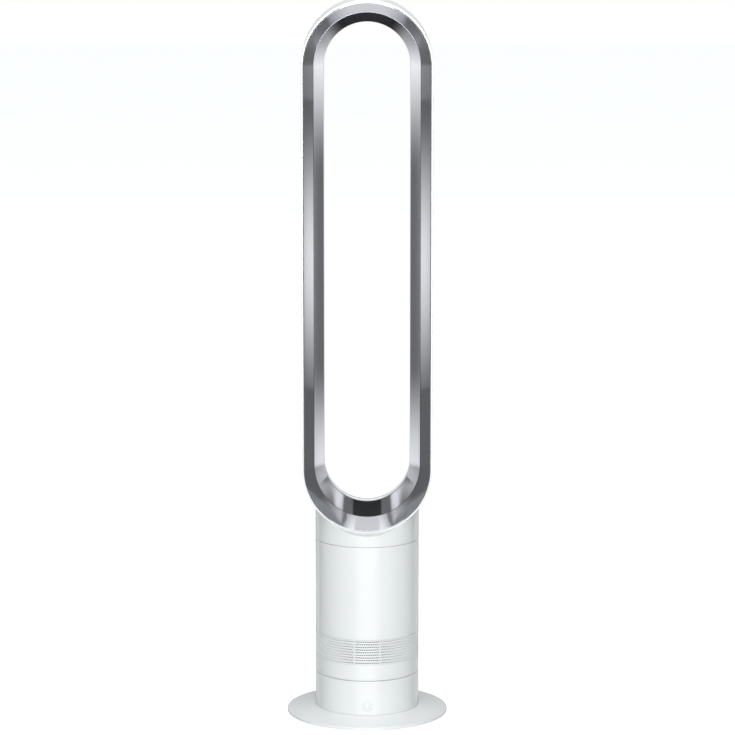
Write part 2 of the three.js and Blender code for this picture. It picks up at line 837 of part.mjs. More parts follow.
// Mixed-flow impeller: a rising hub with swept blades lofted out to the shroud.
function impeller() {
  const hubRadius = (s) => lerp(hubNose, bucketRadius - 1, s ** 1.2);
  const hubLevel = (s) => lerp(zShroud + shroudHeight / 4, zHubBack - 3, s);
  const hubCurve = Array.from({ length: 4 }, (_, i) => [hubRadius(i / 3), hubLevel(i / 3)]);
  const hub = revolve([
    [0, zShroud + shroudHeight / 4 - 2],
    [hubNose - 4, zShroud + shroudHeight / 4 - 2],
    ...hubCurve,
    [hubRadius(1), zHubBack],
    [shaftBore, zHubBack],
    [shaftBore, zShroud + shroudHeight / 2],
    [0, zShroud + shroudHeight / 2],
  ], 3 * bladeCount);
  const steps = 4;
  const bladePoint = (s, h, side) => {
    const root = lerp(0.06, 0.94, s);
    const tipLevel = zShroud + 1 + (shroudHeight - 3) * s;
    const level = lerp(hubLevel(root), tipLevel, h);
    const radius = lerp(hubRadius(root) - 1.5, shroudRadius(tipLevel) - tipClearance, h);
    const angle = radians(bladeSweep) * s + side * bladeThickness / (2 * radius);
    return [radius * Math.cos(angle), radius * Math.sin(angle), level];
  };
  const edge = (s) => [0, 1].flatMap((h) => [-1, 1].map((side) => bladePoint(s, h, side)));
  const strip = (i) => wasm.Manifold.hull([...edge(i / steps), ...edge((i + 1) / steps)]);
  const blade = join(...Array.from({ length: steps }, (_, i) => strip(i)));
  const blades = Array.from({ length: bladeCount }, (_, i) => turned(blade, 2 * Math.PI * i / bladeCount));
  return join(hub, ...blades);
}

function motorShaft() {
  return rod(shaftRadius, zShroud + shroudHeight / 2 + gap, zShaftTop);
}

function bearing(low) {
  return ring(shaftBore, bearingRadius, low, low + bearingHeight);
}

// Lower half of the motor bucket, with the boss of the lower bearing.
function lowerBucket() {
  return revolve([
    [shaftBore + gap, zBucket],
    [bucketRadius - bucketWall, zBucket],
    [bucketRadius, zBucket + bucketWall],
    [bucketRadius, zBucketJoint],
    [bucketInner, zBucketJoint],
    [bucketInner, zBucketFloor],
    [bearingPocket + bucketWall, zBucketFloor],
    [bearingPocket + bucketWall, zBucketFloor + bearingHeight],
    [bearingPocket, zBucketFloor + bearingHeight],
    [bearingPocket, zBucketFloor],
    [shaftBore + gap, zBucketFloor],
  ]);
}

// Upper half: a domed cap with the upper bearing's boss and curved vanes that straighten the
// air and hold the bucket in the housing.
function upperBucket() {
  const boss = bearingPocket + bucketWall;
  const domeSteps = 3;
  const dome = (radius, height) => Array.from({ length: domeSteps + 1 }, (_, i) => {
    const angle = Math.PI / 2 * i / domeSteps;
    return [radius * Math.cos(angle), zDome + height * Math.sin(angle)];
  });
  const outside = dome(bucketRadius, domeHeight);
  outside[domeSteps][0] = 0;
  const inside = dome(bucketInner, domeHeight - bucketWall).filter(([r]) => r > boss).toReversed();
  const bossLow = zUpperBearing - 1;
  const pocketTop = zShaftTop + gap;
  const shell = revolve([
    [bucketInner, zUpperBucket],
    [bucketRadius, zUpperBucket],
    ...outside,
    [0, pocketTop],
    [bearingPocket, pocketTop],
    [bearingPocket, bossLow],
    [boss, bossLow],
    [boss, inside[0][1] + bite],
    ...inside,
  ], facets(bucketRadius));
  const steps = 3;
  const low = zUpperBucket + 1;
  const vanePoint = (s, h, side) => {
    const radius = lerp(bucketRadius - bite, clearOf(housingInner), h);
    const angle = radians(diffuserSweep) * (1 - s) ** 2 + side * bladeThickness / (2 * radius);
    return new THREE.Vector3(radius * Math.cos(angle), radius * Math.sin(angle), low + diffuserHeight * s);
  };
  const edge = Array.from({ length: steps + 1 }, (_, i) => i / steps);
  const sections = [0, 1].map((h) => [
    ...edge.map((s) => vanePoint(s, h, 1)),
    ...edge.toReversed().map((s) => vanePoint(s, h, -1)),
  ]);
  const vane = solid(new LoftGeometry(sections, { capStart: true, capEnd: true }));
  const vanes = Array.from({ length: vaneCount }, (_, i) => turned(vane, 2 * Math.PI * i / vaneCount));
  return join(shell, ...vanes);
}

// Stator: a yoke with inward poles, each ending in a shoe that follows the rotor.
function stator() {
  const outer = clearOf(bucketInner);
  const yoke = outer - statorYoke;
  const face = rotorRadius + gap;
  const half = radians(poleHalfAngle);
  const shape = new THREE.Shape();
  shape.absarc(0, 0, outer, 0, 2 * Math.PI, false);
  const point = (r, a) => new THREE.Vector2(r * Math.cos(a), r * Math.sin(a));
  const bore = Array.from({ length: statorPoles }, (_, i) => {
    const angle = 2 * Math.PI * i / statorPoles;
    return [
      point(yoke, angle - half),
      point(face + poleShoe, angle - half),
      point(face, angle - 2 * half),
      point(face, angle + 2 * half),
      point(face + poleShoe, angle + half),
      point(yoke, angle + half),
    ];
  }).flat();
  shape.holes.push(new THREE.Path(bore));
  const settings = { depth: statorHeight, bevelEnabled: false, curveSegments: 16 };
  return solid(new THREE.ExtrudeGeometry(shape, settings).translate(0, 0, zStator));
}

function rotor() {
  return ring(shaftBore, rotorRadius - gap, zStator, zStatorTop);
}

function motorFoam() {
  const low = zStatorTop + gap;
  return ring(bearingPocket + bucketWall + gap, bucketInner - gap, low, low + motorFoamHeight);
}

// ---- Loop ----------------------------------------------------------------------------------------------
// A section of [distance from the arc's centre, y] points, set at one angle of one round end.
// The two ends' centres move together as the section goes in, which widens the bands there.
function loopSection(section, angle, isUpper) {
  return section.map(([r, y]) => {
    const inset = endStretch * (loopRadius - r);
    const centre = isUpper ? zUpperArc - inset : zLowerArc + inset;
    return new THREE.Vector3(r * Math.cos(angle), y, centre + r * Math.sin(angle));
  });
}

function endSections(section, isUpper) {
  const start = isUpper ? 0 : Math.PI;
  return Array.from({ length: arcSteps + 1 }, (_, k) => (
    loopSection(section, start + Math.PI * k / arcSteps, isUpper)
  ));
}

// The section taken all the way round the loop.
function sweepLoop(section) {
  const sections = [...endSections(section, true), ...endSections(section, false)];
  return solid(new LoftGeometry([...sections, sections[0]]));
}

// The section taken round one end only.
function sweepEnd(section, isUpper) {
  return solid(new LoftGeometry(endSections(section, isUpper), { capStart: true, capEnd: true }));
}

// A point at some distance from the centre of the curve that the air clings to.
function coandaPoint(distance, degrees) {
  const angle = radians(degrees);
  return [coandaCentre - distance * Math.cos(angle), throatY + distance * Math.sin(angle)];
}

function coandaArc(distance, from, to, steps) {
  return Array.from({ length: steps + 1 }, (_, i) => coandaPoint(distance, lerp(from, to, i / steps)));
}

// Where the flat of the ramp runs into the curve, in degrees before the throat.
function rampTangent() {
  const across = coandaCentre - creaseRadius;
  const along = creaseY - throatY;
  const toCrease = Math.atan2(along, across);
  const lean = Math.acos(coandaRadius / Math.hypot(across, along));
  return THREE.MathUtils.radToDeg(toCrease + lean);
}

// A point on a line parallel to the ramp's flat, inside it by some depth, at a given y.
function rampInside(depth, y) {
  const tangent = rampTangent();
  const [r0, y0] = coandaPoint(coandaRadius - depth, tangent);
  return [r0 + (y - y0) * Math.tan(radians(tangent)), y];
}

// Rear rounding of the outer shell: half an ellipse, inset by some wall.
function rearRounding(wall) {
  const start = throatY + rearStart;
  const centre = (loopRadius + coandaCentre - coandaRadius) / 2;
  const across = loopRadius - centre - wall;
  const along = loopDepth / 2 - start - wall;
  return Array.from({ length: 5 }, (_, i) => {
    const angle = Math.PI * i / 4;
    return [centre + across * Math.cos(angle), start + along * Math.sin(angle)];
  });
}

function outerShellSection() {
  const rim = 0.8;
  return [
    [bezelRadius + gap, loopFront + 2 * rim],
    [loopRadius - rim, loopFront + 2 * rim],
    [loopRadius, loopFront + 3 * rim],
    ...rearRounding(0),
    coandaPoint(coandaRadius + slotWidth + lipThickness, lipAngle),
    coandaPoint(coandaRadius + slotWidth, lipAngle),
    ...rearRounding(loopWall).toReversed(),
    [loopInner, loopFront + rimLand],
    [bezelRadius + gap, loopFront + rimLand],
  ];
}

// The loop's outline as a bar right through the fan, larger or smaller by an offset.
function loopBar(offset) {
  const shape = new THREE.Shape(endSections([[loopRadius, 0]], true)
    .concat(endSections([[loopRadius, 0]], false))
    .map(([point]) => {
      const centre = point.z > (zUpperArc + zLowerArc) / 2 ? zUpperArc : zLowerArc;
      const scale = (loopRadius + offset) / loopRadius;
      return new THREE.Vector2(point.x * scale, centre + (point.z - centre) * scale);
    }));
  return extrudeAlongY(shape, -2 * bodyRadius, 2 * bodyRadius);
}

// Collar under the loop: a short cylinder scooped to the loop's outline, hollow below.
function collar() {
  const zHorn = zLowerArc - Math.sqrt(loopRadius ** 2 - bodyRadius ** 2);
  const outside = cut(rod(bodyRadius, zCollar, zHorn), loopBar(-bite));
  const inside = cut(rod(bodyInner, zCollar - 1, zHorn), loopBar(bodyWall));
  return cut(outside, inside);
}

// Outer shell: the loop's white wall, its collar, and the duct that lets the air in.
function outerShell() {
  const plan = new THREE.Shape();
  const c = ductCorner;
  plan.absarc(ductHalfWidth - c, ductRear - c, c, 0, Math.PI / 2, false);
  plan.absarc(c - ductHalfWidth, ductRear - c, c, Math.PI / 2, Math.PI, false);
  plan.absarc(c - ductHalfWidth, c - ductFront, c, Math.PI, 1.5 * Math.PI, false);
  plan.absarc(ductHalfWidth - c, c - ductFront, c, 1.5 * Math.PI, 2 * Math.PI, false);
  const zSide = zLowerArc - Math.sqrt(loopInner ** 2 - ductHalfWidth ** 2);
  const duct = extrude(plan, zCollar, zSide + loopWall);
  return cut(join(sweepLoop(outerShellSection()), collar()), duct);
}

// Outer silver band: the flared front, with a skirt inside the shell and a flange at the crease.
function frontBezel() {
  const crease = [creaseRadius + gap / 2, creaseY - gap];
  const tip = [bezelRadius - 0.8, loopFront];
  const length = Math.hypot(tip[0] - crease[0], tip[1] - crease[1]);
  const along = [(tip[0] - crease[0]) / length, (tip[1] - crease[1]) / length];
  const inside = [crease[0] - bezelWall * along[1], crease[1] + bezelWall * along[0]];
  const atRadius = (r) => [r, inside[1] + (r - inside[0]) * along[1] / along[0]];
  const atDepth = (y) => [inside[0] + (y - inside[1]) * along[0] / along[1], y];
  const skirt = bezelRadius - bezelWall;
  return sweepLoop([
    crease,
    tip,
    [bezelRadius, loopFront + 0.8],
    [bezelRadius, loopFront + bezelSkirt],
    [skirt, loopFront + bezelSkirt],
    atRadius(skirt),
    atDepth(creaseY - gap - bezelWall),
    [creaseRadius + creaseFlange, creaseY - gap - bezelWall],
    [creaseRadius + creaseFlange, creaseY - gap],
  ]);
}

// Middle of the ramp's wall at some depth: on its flat, or round its curve.
function rampMiddle(y) {
  const radius = coandaRadius - bezelWall / 2;
  const [, tangentY] = coandaPoint(radius, rampTangent());
  if (y < tangentY) return rampInside(bezelWall / 2, y)[0];
  return coandaCentre - Math.sqrt(radius ** 2 - (y - throatY) ** 2);
}

// One curved vane that turns the rising air towards the slot, lofted from the ramp's wall out to
// the shell.
function guideVane(side, level) {
  const centreY = throatY + guideVaneRadius / 3;
  const half = guideVaneThickness / 2;
  const steps = 3;
  const curve = (radius) => Array.from({ length: steps + 1 }, (_, i) => {
    const angle = Math.PI * (1 - i / (2 * steps));
    return [centreY + radius * Math.cos(angle), level + radius * Math.sin(angle)];
  });
  const around = [...curve(guideVaneRadius + half), ...curve(guideVaneRadius - half).toReversed()];
  const atRamp = around.map(([y, z]) => new THREE.Vector3(side * rampMiddle(y), y, z));
  const atShell = around.map(([y, z]) => new THREE.Vector3(side * (loopInner - gap), y, z));
  const sections = side > 0 ? [atShell, atRamp] : [atRamp, atShell];
  return solid(new LoftGeometry(sections, { capStart: true, capEnd: true }));
}

// Small block that keeps the slot open.
function slotSpacer(side, level) {
  const block = outline([
    coandaPoint(coandaRadius - 1, 38),
    coandaPoint(coandaRadius - 1, 52),
    coandaPoint(coandaRadius + slotWidth - gap, 52),
    coandaPoint(coandaRadius + slotWidth - gap, 38),
  ].map(([r, y]) => [side * r, y]));
  return extrude(block, level - spacerHeight / 2, level + spacerHeight / 2);
}

// Inner ramp: crease flange, flat, throat and the curve that the air clings to, with the guide
// vanes and the slot's spacers moulded on.
function innerRamp() {
  const tangent = rampTangent();
  const flangeBack = creaseY + bezelWall;
  const ramp = sweepLoop([
    [creaseRadius, creaseY],
    [creaseRadius + creaseFlange, creaseY],
    [creaseRadius + creaseFlange, flangeBack],
    rampInside(bezelWall, flangeBack),
    ...coandaArc(coandaRadius - bezelWall, tangent, coandaEnd, 3),
    ...coandaArc(coandaRadius, coandaEnd, tangent, 5),
  ]);
  const straight = zUpperArc - zLowerArc;
  const sides = [-1, 1];
  const vanes = sides.flatMap((side) => Array.from({ length: guideVanes }, (_, i) => (
    guideVane(side, zLowerArc + straight * (i + 0.5) / guideVanes)
  )));
  const spacers = sides.flatMap((side) => Array.from({ length: spacerCount }, (_, i) => (
    slotSpacer(side, zLowerArc + straight * (i + 1) / (spacerCount + 1))
  )));
  return join(ramp, ...vanes, ...spacers);
}

// Soft strip that closes the slot round one end of the loop.
function slotSeal(isUpper) {
  return sweepEnd([
    coandaPoint(coandaRadius + gap, 50),
    coandaPoint(coandaRadius + gap, 74),
    coandaPoint(coandaRadius + 5.6, 60),
    coandaPoint(coandaRadius + 2.7, 50),
  ], isUpper);
}

function neckGasket() {
  return ring(neckInner, neckOuter - gap, zNeckTop + gap, zNeckTop + gap + gasketHeight);
}

function magnet() {
  const crown = zUpperArc + loopInner - endStretch * loopWall;
  const top = crown - magnetRadius * Math.tan(Math.PI / (2 * arcSteps)) - gap;
  return rod(magnetRadius, top - magnetThickness, top);
}

// ---- Assembly --------------------------------------------------------------------------------------------
const foot = new THREE.Group();
foot.add(piece('foot_disc', footDisc(), whiteShell));
foot.add(piece('foot_underplate', footUnderplate(), innerPlastic));
padPlaces().forEach(([x, y], i) => {
  const pad = piece(`foot_pad_${i + 1}`, rod(padRadius, 0, padHeight), rubber);
  pad.position.set(x, y, 0);
  foot.add(pad);
});

const drum = new THREE.Group();
drum.add(piece('lower_drum', lowerDrum(), whiteShell));
drum.add(piece('power_button', powerButton(), whiteShell));
drum.add(piece('push_switch', pushSwitch(), darkPlastic));
drum.add(piece('switch_board', switchBoard(), circuitBoard));
drum.add(piece('power_board', powerBoard(), circuitBoard));
drum.add(piece('cord_inlet', cordInlet(), rubber));
drum.add(piece('bearing_ring', bearingRing(), acetal));
drum.add(piece('retaining_clip', retainingClip(), steel));

const swivelDrive = new THREE.Group();
swivelDrive.position.y = pinionPlace;
swivelDrive.add(piece('swivel_stepper', stepper(), steel));
swivelDrive.add(piece('swivel_pinion', pinion(), acetal));

const upperBody = new THREE.Group();
upperBody.add(piece('turntable', turntable(), innerPlastic));
upperBody.add(piece('body_casing', bodyCasing(), whiteShell));
upperBody.add(piece('inlet_band', inletBand(), whiteShell));
upperBody.add(piece('display_window', displayWindow(), smokedLens));
upperBody.add(piece('display_board', displayBoard(), circuitBoard));
upperBody.add(piece('lower_foam', lowerFoam(), foam));
upperBody.add(piece('inlet_bell', inletBell(), innerPlastic));
upperBody.add(piece('lip_seal', lipSeal(), rubber));
upperBody.add(piece('impeller_housing', impellerHousing(), innerPlastic));
upperBody.add(piece('motor_bucket_lower', lowerBucket(), innerPlastic));
upperBody.add(piece('motor_bucket_upper', upperBucket(), innerPlastic));
upperBody.add(piece('motor_stator', stator(), copperSteel));
upperBody.add(piece('motor_bearing_lower', bearing(zLowerBearing), steel));
upperBody.add(piece('motor_bearing_upper', bearing(zUpperBearing), steel));
upperBody.add(piece('motor_foam', motorFoam(), foam));
for (let i = 0; i < mountCount; i += 1) {
  const mount = piece(`housing_mount_${i + 1}`, housingMount(), rubber);
  mount.rotation.z = 2 * Math.PI * i / mountCount;
  upperBody.add(mount);
}

const rotating = new THREE.Group();
rotating.add(piece('impeller', impeller(), darkPlastic));
rotating.add(piece('motor_shaft', motorShaft(), steel));
rotating.add(piece('motor_rotor', rotor(), steel));

const loop = new THREE.Group();
loop.add(piece('neck_gasket', neckGasket(), rubber));
loop.add(piece('loop_outer_shell', outerShell(), whiteShell));
loop.add(piece('loop_front_bezel', frontBezel(), satinSilver));
loop.add(piece('loop_inner_ramp', innerRamp(), satinSilver));
loop.add(piece('slot_seal_upper', slotSeal(true), rubber));
loop.add(piece('slot_seal_lower', slotSeal(false), rubber));
[-magnetPitch / 2, magnetPitch / 2].forEach((y, i) => {
  const disc = piece(`remote_magnet_${i + 1}`, magnet(), steel);
  disc.position.y = y;
  loop.add(disc);
});

const fan = new THREE.Group();
fan.name = 'tower_fan';
fan.add(foot, drum, swivelDrive, upperBody, rotating, loop);

export default fan;
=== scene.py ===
import json
import math

import bmesh
import bpy
from mathutils import Matrix, Vector


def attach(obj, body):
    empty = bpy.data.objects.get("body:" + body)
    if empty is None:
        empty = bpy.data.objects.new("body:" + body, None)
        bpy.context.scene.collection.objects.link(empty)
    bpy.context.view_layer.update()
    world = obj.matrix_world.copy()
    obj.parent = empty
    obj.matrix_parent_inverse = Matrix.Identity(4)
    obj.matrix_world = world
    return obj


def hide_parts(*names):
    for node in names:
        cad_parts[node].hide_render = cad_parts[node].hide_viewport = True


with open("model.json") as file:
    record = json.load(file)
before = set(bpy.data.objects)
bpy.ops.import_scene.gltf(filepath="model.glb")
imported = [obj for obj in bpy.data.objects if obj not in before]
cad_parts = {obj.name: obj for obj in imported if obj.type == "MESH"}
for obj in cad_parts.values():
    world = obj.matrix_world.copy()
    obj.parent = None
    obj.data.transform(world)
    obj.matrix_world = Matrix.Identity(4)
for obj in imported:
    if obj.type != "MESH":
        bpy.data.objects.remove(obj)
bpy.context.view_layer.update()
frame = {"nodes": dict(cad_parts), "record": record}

nodes = frame["nodes"]

# ---- Camera ---------------------------------------------------------------------------------
# A long lens nearly five metres away and a little above the top of the fan, tipped down so
# that the whole height fills the frame.
LENS = 167.6
CAMERA_PLACE = (0.0005, -4.7, 1.313)
TIPPED_DOWN = 9.9

camera = bpy.data.objects.new("camera", bpy.data.cameras.new("camera"))
camera.data.lens = LENS
camera.location = CAMERA_PLACE
camera.rotation_euler = (math.radians(90 - TIPPED_DOWN), 0, 0)
bpy.context.scene.collection.objects.link(camera)
bpy.context.scene.camera = camera
bpy.context.scene.view_settings.view_transform = "Standard"

# ---- Studio ---------------------------------------------------------------------------------
# White sweep that the fan stands on. It shows white to the camera and keeps a soft shadow
# under the foot.
STUDIO_WHITE = "F4F5F6"
FLOOR_REACH = 12.0
FLOOR_GLOW = 0.85


def colour(hex_text):
    """An sRGB hex colour as linear red, green, blue and alpha."""
    parts = [int(hex_text[i:i + 2], 16) / 255 for i in (0, 2, 4)]
    return (*[p / 12.92 if p <= 0.04045 else ((p + 0.055) / 1.055) ** 2.4 for p in parts], 1)


def add(tree, kind, inputs=(), **settings):
    """A node with its settings; each input gets a value, or a link from an output."""
    node = tree.nodes.new(kind)
    for name, value in settings.items():
        setattr(node, name, value)
    for name, value in dict(inputs).items():
        if isinstance(value, bpy.types.NodeSocket):
            tree.links.new(value, node.inputs[name])
        else:
            node.inputs[name].default_value = value
    return node


sweep = bpy.data.materials.new("studio_sweep")
sweep.use_nodes = True
tree = sweep.node_tree
tree.nodes.clear()
ray = add(tree, "ShaderNodeLightPath")
matt = add(tree, "ShaderNodeBsdfDiffuse", {"Color": colour(STUDIO_WHITE)})
glow = add(tree, "ShaderNodeEmission", {"Color": (1, 1, 1, 1), "Strength": FLOOR_GLOW})
bright = add(tree, "ShaderNodeAddShader", {0: matt.outputs[0], 1: glow.outputs[0]})
seen = add(tree, "ShaderNodeMixShader", {0: ray.outputs["Is Camera Ray"], 1: matt.outputs[0],
                                         2: bright.outputs[0]})
add(tree, "ShaderNodeOutputMaterial", {"Surface": seen.outputs[0]})

bm = bmesh.new()
bmesh.ops.create_grid(bm, x_segments=1, y_segments=1, size=FLOOR_REACH)
floor = bpy.data.objects.new("studio_floor", bpy.data.meshes.new("studio_floor"))
bm.to_mesh(floor.data)
bm.free()
floor.data.materials.append(sweep)
bpy.context.scene.collection.objects.link(floor)
floor.visible_glossy = False

# Room that the fan stands in: white behind it for the camera, a cool soft fill for the light,
# and for the silver bands the white cards and dark flags that a product studio stands behind
# a bright metal ring. Each is placed by the slope of a mirror that sends a front view its way.
MEAN_VIEW = (0, 0.990, -0.141)
ROOM_FILL = "DDECEE"
FILL_LEVEL = 0.18
CARD_LEVEL = 1.58
FRONT_CARD = 1.7

# Tilt is how far such a slope leans to the front; it grows a little towards the ends of the
# loop. The cards lie between two tilts, and the split parts the inner band's from the outer's.
END_TILT = 0.072
CARDS_FROM = (0.26, 0.29)
CARDS_TO = (0.5, 0.56)
BAND_SPLIT = (0.396, 0.408)

# Start, end and levels over the degrees up or down from the loop's sides.
INNER_FADE = (8, 58, 0.78, 0.01)
OUTER_RISE = (28, 76, 0.12, 0.8)

# Card low in front, between two tilts and no wider than the fan.
TABLE_FROM = (0.8, 0.85)
TABLE_SIDES = (0.33, 0.43)

world = bpy.data.worlds.new("studio_room")
bpy.context.scene.world = world
world.use_nodes = True
tree = world.node_tree
tree.nodes.clear()


def ramp(tree, value, start, end, low, high):
    """A smooth change from low to high while a value goes from start to end."""
    return add(tree, "ShaderNodeMapRange", {"Value": value, "From Min": start, "From Max": end,
                                            "To Min": low, "To Max": high},
               interpolation_type="SMOOTHSTEP").outputs[0]


def sums(tree, operation, *values):
    """One step of arithmetic."""
    return add(tree, "ShaderNodeMath", dict(enumerate(values)), operation=operation).outputs[0]


towards = add(tree, "ShaderNodeTexCoord").outputs["Generated"]
towards_x = add(tree, "ShaderNodeSeparateXYZ", {0: towards}).outputs[0]
turned_back = add(tree, "ShaderNodeVectorMath", {0: towards, 1: MEAN_VIEW}, operation="SUBTRACT")
slope = add(tree, "ShaderNodeVectorMath", {0: turned_back.outputs[0]}, operation="NORMALIZE")
slope = add(tree, "ShaderNodeSeparateXYZ", {0: slope.outputs[0]}).outputs
tilt = sums(tree, "SUBTRACT", sums(tree, "MULTIPLY", slope[1], -1.0),
            sums(tree, "MULTIPLY", sums(tree, "ABSOLUTE", slope[2]), END_TILT))
round_angle = sums(tree, "DEGREES", sums(tree, "ARCTAN2", slope[2],
                                         sums(tree, "ABSOLUTE", slope[0])))
from_side = sums(tree, "ABSOLUTE", round_angle)
inner_card = ramp(tree, from_side, *INNER_FADE)
outer_card = ramp(tree, from_side, *OUTER_RISE)
cards = add(tree, "ShaderNodeMix", {0: ramp(tree, tilt, *BAND_SPLIT, 0.0, 1.0), 2: inner_card,
                                    3: outer_card}).outputs[0]
behind = sums(tree, "MULTIPLY", ramp(tree, tilt, *CARDS_FROM, 0.0, CARD_LEVEL),
              ramp(tree, tilt, *CARDS_TO, 1.0, 0.0))
cards = sums(tree, "MULTIPLY", cards, behind)
backdrop = ramp(tree, tilt, *CARDS_FROM, 1.0, 0.0)
table = sums(tree, "MULTIPLY", ramp(tree, tilt, *TABLE_FROM, 0.0, FRONT_CARD),
             ramp(tree, sums(tree, "ABSOLUTE", towards_x), *TABLE_SIDES, 1.0, 0.0))
beside = sums(tree, "ADD", sums(tree, "ADD", ramp(tree, tilt, *CARDS_TO, 0.0, FILL_LEVEL),
                                backdrop), table)
ray = add(tree, "ShaderNodeLightPath").outputs
glossy = add(tree, "ShaderNodeBackground", {"Strength": sums(tree, "ADD", cards, beside)})
fill = add(tree, "ShaderNodeBackground", {"Color": colour(ROOM_FILL), "Strength": FILL_LEVEL})
wall = add(tree, "ShaderNodeBackground", {"Color": (1, 1, 1, 1), "Strength": 1.0})
lit = add(tree, "ShaderNodeMixShader", {0: ray["Is Glossy Ray"], 1: fill.outputs[0],
                                        2: glossy.outputs[0]})
shown = add(tree, "ShaderNodeMixShader", {0: ray["Is Camera Ray"], 1: lit.outputs[0],
                                          2: wall.outputs[0]})
add(tree, "ShaderNodeOutputWorld", {"Surface": shown.outputs[0]})


def softbox(name, place, target, width, height, power):
    """A white area lamp at one place, aimed at another."""
    lamp = bpy.data.objects.new(name, bpy.data.lights.new(name, "AREA"))
    lamp.data.shape = "RECTANGLE"
    lamp.data.size = width
    lamp.data.size_y = height
    lamp.data.energy = power
    lamp.location = place
    lamp.rotation_euler = (lamp.location - Vector(target)).to_track_quat("Z", "Y").to_euler()
    lamp.visible_camera = False
    bpy.context.scene.collection.objects.link(lamp)


softbox("front_box", (0, -3.2, 1.2), (0, 0, 0.5), width=1.8, height=2.4, power=64)
softbox("top_box", (0, -0.9, 3.0), (0, 0, 0), width=2.2, height=2.2, power=44)

# Two slim cards on each side, a quarter of a metre behind the loop: a lit one that puts the
# bright patch half-way up the outer silver band, and a grey one that darkens the inner band
# there and whitens it at both ends.
CARD_DEPTH = 0.25
LIT_CARD_X = 0.25
LIT_CARD_WIDTH = 0.05
LIT_CARD_MIDDLE = 0.587
LIT_CARD_FADE = (0, 0.24, 1.2, 0.16)
GREY_CARD_X = 0.18
GREY_CARD_WIDTH = 0.07
GREY_CARD_TOP_FADE = (0.72, 0.945, 0.2, 1.6)
GREY_CARD_FOOT_FADE = (0.27, 0.44, 1.2, 0.2)


def studio_card(name, x, width, low, high, level):
    """A card that only shows in reflections; level gives its brightness over its height."""
    paper = bpy.data.materials.new(name)
    paper.use_nodes = True
    tree = paper.node_tree
    tree.nodes.clear()
    place = add(tree, "ShaderNodeTexCoord").outputs["Object"]
    height = add(tree, "ShaderNodeSeparateXYZ", {0: place}).outputs[2]
    shine = add(tree, "ShaderNodeEmission", {"Strength": level(tree, height)})
    add(tree, "ShaderNodeOutputMaterial", {"Surface": shine.outputs[0]})
    bm = bmesh.new()
    corners = [(x - width / 2, low), (x + width / 2, low), (x + width / 2, high),
               (x - width / 2, high)]
    bm.faces.new([bm.verts.new((across, CARD_DEPTH, up)) for across, up in corners])
    card = bpy.data.objects.new(name, bpy.data.meshes.new(name))
    bm.to_mesh(card.data)
    bm.free()
    card.data.materials.append(paper)
    bpy.context.scene.collection.objects.link(card)
    card.visible_camera = False
    card.visible_diffuse = False
    card.visible_transmission = False
    card.visible_shadow = False


def lit_level(tree, height):
    """Bright in the middle and dark at both ends."""
    away = sums(tree, "ABSOLUTE", sums(tree, "SUBTRACT", height, LIT_CARD_MIDDLE))
    return ramp(tree, away, *LIT_CARD_FADE)


def grey_level(tree, height):
    """Dark in the middle and white at both ends."""
    return sums(tree, "MAXIMUM", ramp(tree, height, *GREY_CARD_TOP_FADE),
                ramp(tree, height, *GREY_CARD_FOOT_FADE))


for side in (-1, 1):
    studio_card(f"lit_card_{side}", side * LIT_CARD_X, LIT_CARD_WIDTH, 0.39, 0.83, lit_level)
    studio_card(f"grey_card_{side}", side * GREY_CARD_X, GREY_CARD_WIDTH, 0.28, 0.94, grey_level)

# ---- Foot pads ------------------------------------------------------------------------------
# Five soft feet, moulded in black silicone rubber: a disc with a rounded edge, pressed into
# a shallow seat in the underplate.
PAD_COUNT = 5
PAD_RADIUS = 7
PAD_HEIGHT = 1.7
PAD_HOLLOW = 0.25
PAD_RIM = 1.2
PAD_CIRCLE = 98


def surface(name, **values):
    """A material with one Principled shader, its sockets set by name."""
    material = bpy.data.materials.new(name)
    material.use_nodes = True
    shader = material.node_tree.nodes["Principled BSDF"]
    for socket, value in values.items():
        shader.inputs[socket.replace("_", " ")].default_value = value
    return material, material.node_tree, shader


def relief(tree, shader, height, strength, distance):
    """Feeds a height pattern to the shader as a bump of some depth in metres."""
    bump = add(tree, "ShaderNodeBump", {"Height": height, "Strength": strength,
                                        "Distance": distance})
    tree.links.new(bump.outputs[0], shader.inputs["Normal"])


def profile(bm, points, closed=True):
    """A chain of (radius, height) points in mm; a third number rounds that corner."""
    verts = [bm.verts.new((p[0], 0, p[1])) for p in points]
    ends = verts[1:] + verts[:1] if closed else verts[1:]
    for a, b in zip(verts, ends):
        bm.edges.new((a, b))
    for vert, point in zip(verts, points):
        if len(point) > 2:
            bmesh.ops.bevel(bm, geom=[vert], offset=point[2], offset_type="OFFSET", segments=4,
                            profile=0.5, affect="VERTICES", material=-1)


def turn(points, steps=160, closed=True):
    """A profile turned once about the upright axis."""
    bm = bmesh.new()
    profile(bm, points, closed)
    bmesh.ops.spin(bm, geom=bm.verts[:] + bm.edges[:], cent=(0, 0, 0), axis=(0, 0, 1),
                   angle=2 * math.pi, steps=steps, use_merge=True)
    return bm


def settle(bm, name, material, body, slot, *replaced, sharp=30):
    """Closes a mesh in mm, brings it to metres and makes it a piece that rides on a body."""
    bmesh.ops.remove_doubles(bm, verts=bm.verts, dist=0.002)
    bmesh.ops.dissolve_degenerate(bm, edges=bm.edges, dist=0.001)
    bmesh.ops.recalc_face_normals(bm, faces=bm.faces)
    bmesh.ops.scale(bm, verts=bm.verts, vec=(0.001, 0.001, 0.001))
    piece = bpy.data.objects.new(name, bpy.data.meshes.new(name))
    bm.to_mesh(piece.data)
    bm.free()
    piece.data.shade_smooth()
    piece.data.set_sharp_from_angle(angle=math.radians(sharp))
    piece.data.materials.append(material)
    bpy.context.scene.collection.objects.link(piece)
    shading = piece.modifiers.new("shading", "WEIGHTED_NORMAL")
    shading.keep_sharp = True
    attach(piece, body)
    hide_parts(*replaced)
    return piece


